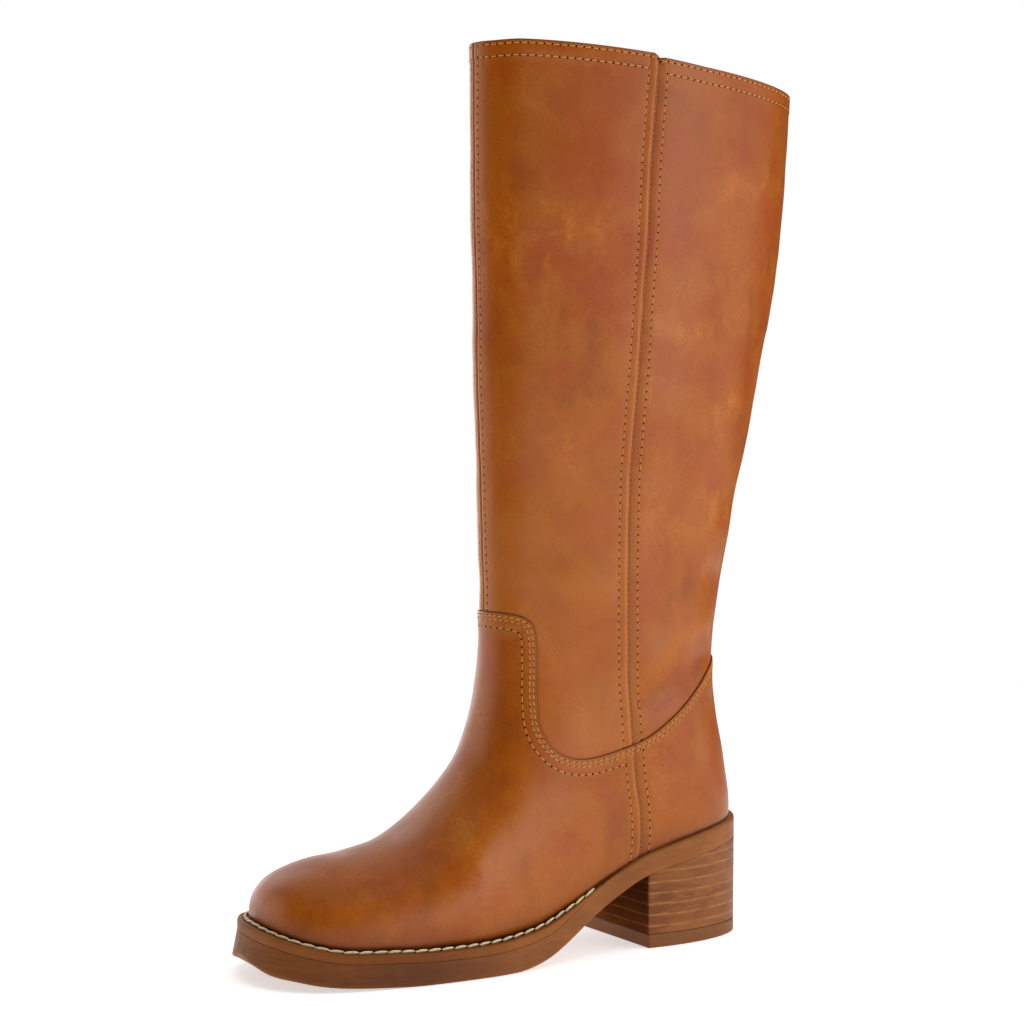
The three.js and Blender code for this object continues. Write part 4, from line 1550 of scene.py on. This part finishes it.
@dataclass
class LeatherWork:
    """The foot part, the leg, their lining and everything sewn on them."""
    plan: SolePlan
    lines: Lines
    wall: float = 1.2           # of the leather
    flange: float = 4.4         # how far the leg's leather reaches under the foot part
    edge_bulge: float = 0.32    # roundness of a cut edge
    edge_rows: int = 5          # faces across a cut edge
    lining_outside: float = 1.35
    lining_inside: float = 2.0
    lining_drop: float = 1.0    # of its edge under the collar's
    lining_foot: float = 3.4    # its lower edge over the sole's top
    finishes: dict[str, bpy.types.Material] = field(default_factory=dict)
    stitches: Stitches = field(default_factory=Stitches)
    seam_stitches: Stitches = field(default_factory=Stitches)

    # lines scored into the skins, so that the leather's relief is crisp along them
    seam_scores = (
        "side",
        (-6.0, -5.3, -5.0, -4.7, -3.4, -1.6, -0.6, -0.1, 0.2, 0.5, 1.2, 2.6, 4.7, 5.0, 5.3, 6.0))
    foot_scores = (
        ("inside", (0.5, 0.95, 1.3, 1.7, 2.7, 3.1, 3.6, 5.2, 6.3, 6.9, 7.5)),
        ("sole", (0.4, 1.2, 2.4)),
        seam_scores)
    leg_scores = (
        ("joint", (0.2, 0.6, 1.2)),
        ("collar", (0.5, 1.1, 1.6, 2.1, 6.8, 7.3, 7.8, 9.1)),
        seam_scores,
        ("front", (-3.4, -3.1, -2.7, -1.6, -0.7, -0.3, 0.0, 0.3, 0.7, 1.6, 2.7, 3.1, 3.4)))

    def build(self) -> None:
        """Makes every leather piece and its stitches."""
        self.finishes = {"leather": BurnishedCalf().make(), "edge": CUT_EDGE.make(), "lining": LINING.make()}
        foot = self.cut(Last(), {"inside": 0.0, "sole": -0.25}, self.foot_scores)
        # the foot part covers the leg's flange
        upright = Last(step=3.2, columns=136)
        leg = self.cut(upright, {"joint": -self.flange, "collar": 0.0}, self.leg_scores)
        self.foot_part(foot)
        self.leg_part(leg)
        self.lining_part()
        for skin, kind, rows in ((foot, Leather.FOOT, FOOT_ROWS), (leg, Leather.LEG, LEG_ROWS)):
            for row in rows:
                self.sew_row(skin, kind, row)
        self.finish_stitches()

    def cut(self, last: Last, bounds: dict[str, float], scores: tuple = ()) -> Skin:
        """Cuts the skin of a piece.

        Args:
            last: what it is pulled over.
            bounds: the values that bound it, and the size over which it is kept.
            scores: the values that it is scored along, and their sizes there.

        Returns:
            The skin, measured and scored.
        """
        skin = self.lines.measured(last)
        for name, above in bounds.items():
            skin = skin.kept(name, above)
        for name, sizes in scores:
            for at in sizes:
                skin = skin.scored(name, at)
        return skin

    def shell(self, skin: Skin, outer: np.ndarray, inner: np.ndarray, **values: np.ndarray) -> Part:
        """A closed leather shell between two heights over a skin, with rounded edges.

        Args:
            skin: the last's skin, cut to the piece.
            outer: height of the outer face at each point.
            inner: height of the inner face at each point.
            values: what the finish reads at each point.

        Returns:
            The part, with slots for the outer face, the cut edges and the inner face.
        """
        part = Part()
        count = len(skin.points)
        for height in (outer, inner):
            part.add_points(skin.points + skin.normals * height[:, None], **values)
        part.add_faces(skin.faces, 0)
        part.add_faces(skin.faces[:, ::-1] + count, 2)
        angles = np.linspace(math.pi / 2, -math.pi / 2, self.edge_rows + 1)[1:-1]
        for ring in skin.rims():
            base, up = skin.points[ring], skin.normals[ring]
            out = unit(np.cross(np.roll(base, -1, axis=0) - np.roll(base, 1, axis=0), up))
            middle = ((outer + inner) / 2)[ring][:, None]
            half = ((outer - inner) / 2)[ring][:, None]
            named = {name: np.clip(value[ring] + 0.4, 0, 1) for name, value in values.items()}
            rows = [ring]
            for angle in angles:
                bulge = out * self.edge_bulge * math.cos(angle)
                start = part.add_points(base + up * (middle + half * math.sin(angle)) + bulge, **named)
                rows.append(np.arange(start, start + len(ring)))
            rows.append(ring + count)
            for level, (one, other) in enumerate(zip(rows, rows[1:])):
                quads = [np.roll(one, -1), one, other, np.roll(other, -1)]
                part.add_faces(np.column_stack(quads), min(level, 1))
        return part

    def foot_part(self, skin: Skin) -> None:
        """Makes the foot part, thin at its upper edge where it lies on the leg's leather.

        Args:
            skin: its skin, cut and scored.
        """
        inside = skin.values["inside"]
        outer = relief(skin, Leather.FOOT)
        inner = folds(skin) - self.wall + (self.wall - 0.02) * ease(inside, 7.0, 5.6)
        inner = np.minimum(inner, outer - 0.25)
        part = self.shell(skin, outer, inner, **shades(skin, Leather.FOOT))
        settle(part.make("foot_leather", [*self.finishes.values()]), "upper_leather", "upper")

    def leg_part(self, skin: Skin) -> None:
        """Makes the leg, open at the collar.

        Args:
            skin: its skin, cut and scored.
        """
        shaded = shades(skin, Leather.LEG)
        part = self.shell(skin, relief(skin, Leather.LEG), folds(skin) - self.wall, **shaded)
        settle(part.make("leg_leather", [*self.finishes.values()]), "upper_leather", "shaft")

    def lining_part(self) -> None:
        """The lining, one skin from the toe to just under the collar's edge."""
        last = Last(step=4.0, columns=112, toe_step=0.25)
        skin = self.cut(last, {"collar": self.lining_drop, "sole": self.lining_foot})
        part = self.shell(skin, folds(skin) - self.lining_outside, folds(skin) - self.lining_inside)
        settle(part.make("lining", [self.finishes["lining"]] * 3), "insole_leather")

    @staticmethod
    def on_face(line: np.ndarray, names: list[str], kind: Leather) -> np.ndarray:
        """Moves a line of the skin out onto the leather's outer face.

        Args:
            line: its rows of place, normal and values.
            names: what the values are.
            kind: which leather it is.

        Returns:
            Rows of place and normal.
        """
        values = {name: line[:, 6 + i] for i, name in enumerate(names)}
        lifted = Skin(line[:, :3], unit(line[:, 3:6]), np.zeros((0, 3), int), values)
        height = relief(lifted, kind)[:, None]
        return np.column_stack([line[:, :3] + lifted.normals * height, lifted.normals])

    def sew_row(self, skin: Skin, kind: Leather, row: Row) -> None:
        """Sews stitches along each line that a row has on a skin.

        Args:
            skin: the skin that is sewn.
            kind: which leather it is.
            row: where the stitches run and how they are sewn.
        """
        names = list(skin.values)
        into = self.seam_stitches if row.thread is SEAM_STITCH else self.stitches
        for line in skin.line(row.name, row.at):
            inside = np.ones(len(line), bool)
            for other, (low, high) in row.ranges.items():
                value = line[:, 6 + names.index(other)]
                inside &= (value >= low) & (value <= high)
            if np.allclose(line[0, :3], line[-1, :3]) and not inside.all():
                first = int(np.argmin(inside))
                line, inside = np.roll(line[:-1], -first, axis=0), np.roll(inside[:-1], -first)
            cuts = np.flatnonzero(np.diff(np.r_[0, inside.astype(int), 0]))
            for start, end in zip(cuts[::2], cuts[1::2]):
                if end - start > 3:
                    into.sew(self.on_face(line[start:end], names, kind), row.thread)

    def finish_stitches(self) -> None:
        """Turns the gathered rows into threads and needle holes."""
        gold, dark = GOLD_THREAD.make(), NEEDLE_HOLE.make()
        threads = np.vstack(self.stitches.threads + self.seam_stitches.threads)
        holes = np.vstack(self.stitches.holes + self.seam_stitches.holes)
        settle(SettingTree(Setting.STITCH).grow("upper_stitches", threads, gold, 0.05), "upper_leather")
        settle(SettingTree(Setting.HOLE).grow("needle_holes", holes, dark, 0.12), "upper_leather")


@dataclass
class Bottom:
    """The welt, its stitches, the outsole and the insole."""
    plan: SolePlan
    lines: Lines
    welt_thickness: float = 4.3
    welt_thin: float = 0.35         # at its skived ends
    welt_end: float = 58.0
    welt_full: float = 92.0
    welt_gap: float = 0.05          # between the welt and the outsole under it
    welt_shallow: float = 1.6       # thickness below which its groove grows shallower
    wall_rings: int = 9             # up the sole's edge
    groove_at: float = 0.66         # of the welt's ledge, from its edge
    stitch_start: float = 4.0       # from the welt's ends
    flare: float = 0.9              # of the forefoot's lower edge
    toe_flare: float = 1.3          # what it grows by at the toe's tip
    seat_round: float = 1.7         # roundness of the sole's upper edge behind the welt
    insole_thickness: float = 3.0
    insole_gap: float = 0.3         # under it
    insole_points: int = 120        # along each side of its outline
    insole_inset: float = 2.35

    def thickness(self, x: np.ndarray) -> np.ndarray:
        """Thickness of the welt.

        Args:
            x: where.

        Returns:
            The thickness there, 0 behind the welt's ends.
        """
        grown = ease(x, self.welt_end, self.welt_full)
        full = self.welt_thin + (self.welt_thickness - self.welt_thin) * grown
        return full * ease(x, self.welt_end - 1.2, self.welt_end + 0.4)

    def contact(self) -> np.ndarray:
        """Finds where the leather meets the sole.

        Returns:
            The line as a ring of x and y.
        """
        skin = self.lines.measured(Last(step=4.0, columns=120))
        line = max(skin.line("sole", 0.3), key=len)
        return walk(line[:-1, :3], 1.5, closed=True)[:, :2]

    def build(self) -> None:
        """Makes every piece of the bottom."""
        self.outline = self.plan.outline()
        self.outward = outward_of(self.outline)
        edge = self.contact()
        away = np.linalg.norm(self.outline[:, None] - edge[None], axis=2).min(axis=1)
        self.ledge = np.convolve(np.r_[away[-4:], away, away[:4]], np.ones(9) / 9, mode="valid")
        self.run = np.flatnonzero(self.outline[:, 0] > self.welt_end)   # from one waist round the toe
        self.outsole()
        self.welt()
        self.welt_stitches()
        self.insole()

    def rebate(self, x: np.ndarray, y: np.ndarray) -> np.ndarray:
        """Height of the welt's foot, or of the sole's upper edge where there is no welt."""
        return self.plan.top(x, y) - self.thickness(x)

    def outsole(self) -> None:
        """The outsole with its flared foot, hollowed under the welt."""
        x, y = self.outline.T
        foot, top = self.plan.foot(x, y), self.plan.top(x, y)
        ceiling = self.rebate(x, y) - self.welt_gap * (self.thickness(x) > 0)
        flare = self.flare * ease(x, self.welt_end, self.welt_full) + self.toe_flare * ease(x, 195, 220)
        soft = self.seat_round * (1 - ease(x, self.welt_end - 14, self.welt_end - 1)) + 0.14
        soft_foot = 1 + 0.5 * ease(x, 196, 222)
        rings = []
        for inwards, raised in ((3.0, 0.0), (1.1, 0.02), (0.45, 0.22)):
            offset = flare - inwards * soft_foot
            moved = self.outline + self.outward * offset[:, None]
            rings.append((offset, np.minimum(foot, self.plan.foot(*moved.T)) + raised * soft_foot))
        rings.append((flare - 0.1 * soft_foot, foot + 0.65 * soft_foot))
        wall_foot, wall_top = foot + 1.2 * soft_foot, ceiling - soft
        for share in np.linspace(0, 1, self.wall_rings):
            rings.append((flare * (1 - share), wall_foot + (wall_top - wall_foot) * share))
        for angle in np.radians((25, 50, 72, 90)):
            rings.append((-soft * (1 - math.cos(angle)), wall_top + soft * math.sin(angle)))
        rings.append((-soft - 2.5, ceiling))
        bands = [float(np.clip(np.mean((height - foot) / (top - foot)), 0, 1)) for _, height in rings]
        part = Part()
        levels = ((self.plan.foot, 0.0), (self.rebate, -self.welt_gap))
        add_plate(part, self.outline, rings, levels, bands, 16)
        settle(part.make("outsole_edge", [SOLE_RUBBER.make()]), "sole_rubber", "outsole")

    def welt(self) -> None:
        """The welt, a strip with a grooved upper face, swept round the forefoot."""
        base, out = self.outline[self.run], self.outward[self.run]
        x = base[:, 0]
        top = self.plan.top(x, base[:, 1])
        thick = self.thickness(x)
        ledge = self.ledge[self.run]
        shallow = np.minimum(1, thick / self.welt_shallow)
        # across the strip: offset as a share of the ledge, then in millimetres, and height
        # as a share of the thickness, then in millimetres
        profile = (
            (0, -0.35, -1, 0.02, 0.55), (0, -0.08, -1, 0.12, 0.62), (0, 0.0, -1, 0.45, 0.7),
            (0, 0.0, -0.5, 0.0, 0.8), (0, 0.0, 0, -0.75, 0.9), (0, -0.10, 0, -0.38, 0.95),
            (0, -0.36, 0, -0.10, 1.0), (0, -0.8, 0, 0.0, 1.0), (-0.34, 0, 0, 0.06, 1.0),
            (-0.42, 0, 0, -0.05, 0.9), (-0.5, 0, 0, -0.42, 0.75), (-0.62, 0, 0, -0.62, 0.7),
            (-0.86, 0, 0, -0.62, 0.7), (-1.0, 0, 0, -0.5, 0.7), (-1.0, -2.4, 0, -0.5, 0.7),
            (-1.0, -2.4, -1, 0.02, 0.55),
        )
        part = Part()
        starts = []
        for share, shift, tall, rise, band in profile:
            offset = share * ledge + shift
            height = top + tall * thick + rise * (shallow if tall == 0 else np.minimum(1, thick))
            place = np.column_stack([base + out * offset[:, None], height])
            starts.append(part.add_points(place, band=band))
        count = len(self.run)
        i = np.arange(count - 1)
        for one, other in zip(starts, starts[1:] + starts[:1]):
            part.add_faces(np.column_stack([one + i, other + i, other + i + 1, one + i + 1]))
        for k, turn in ((0, -1), (count - 1, 1)):
            ring = np.array(starts) + k
            hub = part.add_points(np.vstack(part.points)[ring].mean(axis=0)[None], band=0.6)
            part.add_faces(np.column_stack([ring, np.roll(ring, -1), np.full(len(ring), hub)])[:, ::turn])
        settle(part.make("welt_strip", [WELT_STRIP.make()]), "welt_leather", "welt")

    def welt_stitches(self) -> None:
        """The row of long cord stitches in the welt's groove."""
        base, out = self.outline[self.run], self.outward[self.run]
        place = base - out * self.ledge[self.run][:, None] * self.groove_at
        height = self.plan.top(*base.T) + 0.22
        lean = np.column_stack([out * 0.30, np.ones(len(base))])
        line = np.column_stack([place, height, unit(lean)])
        cord = Stitches()
        cord.sew(line[base[:, 0] > self.welt_end + self.stitch_start], WELT_STITCH)
        tree = SettingTree(Setting.STITCH, sides=8, steps=10, seed=5)
        threads = np.vstack(cord.threads)
        settle(tree.grow("welt_stitches", threads, WELT_CORD.make(), 0.03), "welt_leather")
        holes = np.vstack(cord.holes)
        holes[:, :3] -= holes[:, 3:6] * 0.35
        tree = SettingTree(Setting.HOLE, seed=7)
        settle(tree.grow("awl_holes", holes, AWL_HOLE.make(), 0.1), "welt_leather")

    def insole(self) -> None:
        """The insole with its sock, inside the lining."""
        skin = self.lines.measured(Last(step=4.0, columns=120), self.insole_inset)
        line = max(skin.line("sole", 1.8), key=len)[:-1, :3]
        if (np.roll(line[:, 0], -1) * line[:, 1] - line[:, 0] * np.roll(line[:, 1], -1)).sum() < 0:
            line = line[::-1]
        line = np.roll(line, -int(line[:, 0].argmin()), axis=0)
        tip = int(line[:, 0].argmax())
        sides = []
        for side in (line[:tip + 1], np.vstack([line[tip:], line[:1]])):
            even = walk(side, 1.0)
            pick = np.linspace(0, 1, self.insole_points + 1)[:-1] * (len(even) - 1)
            sides.append(even[np.round(pick).astype(int)])
        ring = np.vstack(sides)[:, :2]
        low = self.plan.top(*ring.T) + self.insole_gap
        high = low + self.insole_thickness
        rings = [(-0.3, low), (0.0, low + 0.4), (0.0, high - 0.8), (-0.25, high - 0.25), (-0.9, high)]

        part = Part()
        levels = ((self.plan.top, self.insole_gap), (self.plan.top, self.insole_gap + self.insole_thickness))
        add_plate(part, ring, rings, levels, [0.0, 0.2, 0.8, 0.9, 1.0], 10)
        settle(part.make("insole_sock", [LINING.make()]), "insole_leather", "insole")


@dataclass
class Heel:
    """The stacked heel and its top lift."""
    plan: SolePlan
    breast: float = 31.0
    back: float = -34.0
    half_width: float = 30.8
    straight_to: float = 24.0
    corner: float = 1.0             # roundness of the corners at the breast
    lift_thickness: float = 6.5
    joint_gap: float = 0.12         # under the block and over it

    def outline(self) -> np.ndarray:
        """Draws the heel's outline.

        Returns:
            A ring from its outer side round the breast and back again.
        """
        angle = np.linspace(math.pi / 2, 0, 70)
        reach = self.straight_to - self.back
        arc = np.column_stack([self.straight_to - reach * np.sin(angle), self.half_width * np.cos(angle)])
        turn = np.radians(np.linspace(90, 0, 6))
        x, y = self.breast - self.corner, self.half_width - self.corner
        fillet = np.column_stack([x + self.corner * np.cos(turn), y + self.corner * np.sin(turn)])
        side = np.linspace(arc[-1], fillet[0], 6)[1:-1]
        face = np.linspace(fillet[-1], [self.breast, 0], 12)[1:]
        half = np.vstack([arc, side, fillet, face])
        ring = np.vstack([half, (half * [1, -1])[-2:0:-1]])
        return np.roll(ring, -(len(ring) // 4), axis=0)

    def build(self) -> None:
        """Makes the heel block and the top lift."""
        self.block()
        self.lift()

    def block(self) -> None:
        """The stack of lifts, from the top lift up to the sole, with a shallow line at each joint."""
        ring = self.outline()
        finish = StackedLeather()
        low = self.lift_thickness + self.joint_gap
        high = self.plan.foot(*ring.T) - self.joint_gap
        bands = [0.0, 0.006, *np.linspace(0.012, 0.994, 84).tolist(), 1.0]
        rings = []
        for share in bands:
            height = low + (high - low) * share
            near = np.abs((height / finish.lift_mm) % 1 - 0.5)
            edge = -0.25 * (1 - min(1.0, share / 0.012)) ** 2
            rings.append((0.3 * share - 0.07 * ease(near, 0.42, 0.48) + edge, height))
        part = Part()
        levels = ((self.plan.floor, low), (self.plan.foot, -self.joint_gap))
        add_plate(part, ring, rings, levels, bands, 8)
        settle(part.make("heel_stack", [finish.make()]), "stacked_leather", "heel")

    def lift(self) -> None:
        """The top lift, which wears on the floor."""
        top = self.lift_thickness
        rings = [(-1.4, 0.0), (-0.5, 0.0), (-0.15, 0.18), (0.0, 0.6)]
        rings += [(0.0, z) for z in np.linspace(1.2, top - 0.3, 6)] + [(-0.12, top - 0.08), (-0.6, top)]
        bands = [0.4 + 0.5 * i / (len(rings) - 1) for i in range(len(rings))]
        part = Part()
        levels = ((self.plan.floor, 0.0), (self.plan.floor, top))
        add_plate(part, self.outline(), rings, levels, bands, 8)
        settle(part.make("heel_top_lift", [LIFT_RUBBER.make()]), "lift_rubber", "top_lift")


Place = tuple[float, float, float]


@dataclass
class Studio:
    """The floor, the lights and the camera."""
    floor_radius: float = 1.15          # metres
    floor_corners: int = 64
    camera_place: Place = (0.6579, 1.0492, 0.247)
    camera_look: Place = (-0.4772, -0.8788, 0.0)
    lens: float = 88.3
    shift_y: float = -0.081
    sky: float = 1.60                   # strength of the white walls and ceiling
    # each screen: the way to its middle, the cosines at which it begins and is full, its shade
    screens: tuple[tuple[Place, float, float, float], ...] = (
        ((0.935, 0.286, 0.208), 0.76, 0.90, 0.02),
        ((0.527, 0.369, 0.766), 0.56, 0.84, 0.02),
        ((0.20, 0.64, 0.74), 0.62, 0.86, 0.02),
        ((-0.93, -0.34, 0.15), 0.75, 0.92, 0.05),
        ((0.0, -0.60, 0.80), 0.55, 0.85, 0.38),
    )

    def build(self) -> None:
        """Sets the stage round the boot."""
        self.floor()
        self.world()
        self.camera()
        middle = (0.02, 0.0, 0.22)
        self.soft_box("key", (-1.05, 1.65, 0.75), middle, (0.9, 1.4), 7)
        self.soft_box("rim", (0.35, -1.95, 0.9), middle, (1.2, 1.8), 6)
        fill = self.soft_box("fill", (0.20, 0.10, 1.35), (0.12, 0.0, 0.05), (1.2, 1.2), 5.5)
        fill.visible_glossy = False     # it lifts the shadows and leaves no highlight

    def floor(self) -> None:
        """A round white floor."""
        turn = np.linspace(0, 2 * math.pi, self.floor_corners, endpoint=False)
        part = Part()
        part.add_points(np.column_stack([np.cos(turn), np.sin(turn), turn * 0]) * self.floor_radius / METRE)
        part.add_faces(np.arange(self.floor_corners)[None])
        part.make("studio_floor", [StudioTable().make()])

    def world(self) -> None:
        """White walls and ceiling with soft dark screens; the lens sees plain white."""
        world = bpy.data.worlds.new("studio_walls")
        world.use_nodes = True
        world.node_tree.nodes.clear()
        add = partial(add_node, world.node_tree)
        way = add("ShaderNodeTexCoord", {}, "Generated")
        strength = self.sky
        for middle, begins, full, shade in self.screens:
            near = add("ShaderNodeVectorMath", {0: way, 1: middle}, "Value", operation="DOT_PRODUCT")
            values = {0: near, 1: begins, 2: full, 3: 1.0, 4: shade}
            lit = add("ShaderNodeMapRange", values, interpolation_type="SMOOTHSTEP")
            strength = add("ShaderNodeMath", {0: lit, 1: strength}, operation="MULTIPLY")
        walls, plain = (
            add("ShaderNodeBackground", {"Color": "#FFFFFF", "Strength": power}) for power in (strength, 1.0))
        lens = add("ShaderNodeLightPath", {}, "Is Camera Ray")
        add("ShaderNodeOutputWorld", {0: add("ShaderNodeMixShader", {0: lens, 1: walls, 2: plain})})
        bpy.context.scene.world = world
        bpy.context.scene.view_settings.view_transform = "Standard"

    @staticmethod
    def soft_box(
        name: str, place: Place, target: Place, size: tuple[float, float], power: float,
    ) -> bpy.types.Object:
        """Hangs a soft box.

        Args:
            name: its name.
            place: where it hangs, in metres.
            target: what it faces.
            size: its width and height.
            power: in watts.

        Returns:
            The lamp.
        """
        light = bpy.data.lights.new(name, "AREA")
        light.shape = "RECTANGLE"
        light.size, light.size_y = size
        light.energy = power
        lamp = bpy.data.objects.new(name, light)
        lamp.location = place
        lamp.rotation_euler = (Vector(target) - Vector(place)).to_track_quat("-Z", "Y").to_euler()
        bpy.context.scene.collection.objects.link(lamp)
        return lamp

    def camera(self) -> None:
        """The camera, level, looking at the boot's outer side and toe."""
        lens = bpy.data.cameras.new("camera")
        lens.lens = self.lens
        lens.sensor_width = 36.0
        lens.shift_y = self.shift_y
        lens.clip_end = 50.0
        camera = bpy.data.objects.new("camera", lens)
        camera.location = self.camera_place
        camera.rotation_euler = Vector(self.camera_look).to_track_quat("-Z", "Y").to_euler()
        bpy.context.scene.collection.objects.link(camera)
        bpy.context.scene.camera = camera


def main() -> None:
    """Builds the boot piece by piece, then its studio."""
    logging.basicConfig(level=logging.INFO, format="%(message)s")
    plan = SolePlan()
    lines = Lines(plan)
    Studio().build()
    LeatherWork(plan, lines).build()
    Bottom(plan, lines).build()
    Heel(plan).build()


if __name__ == "__main__":
    main()
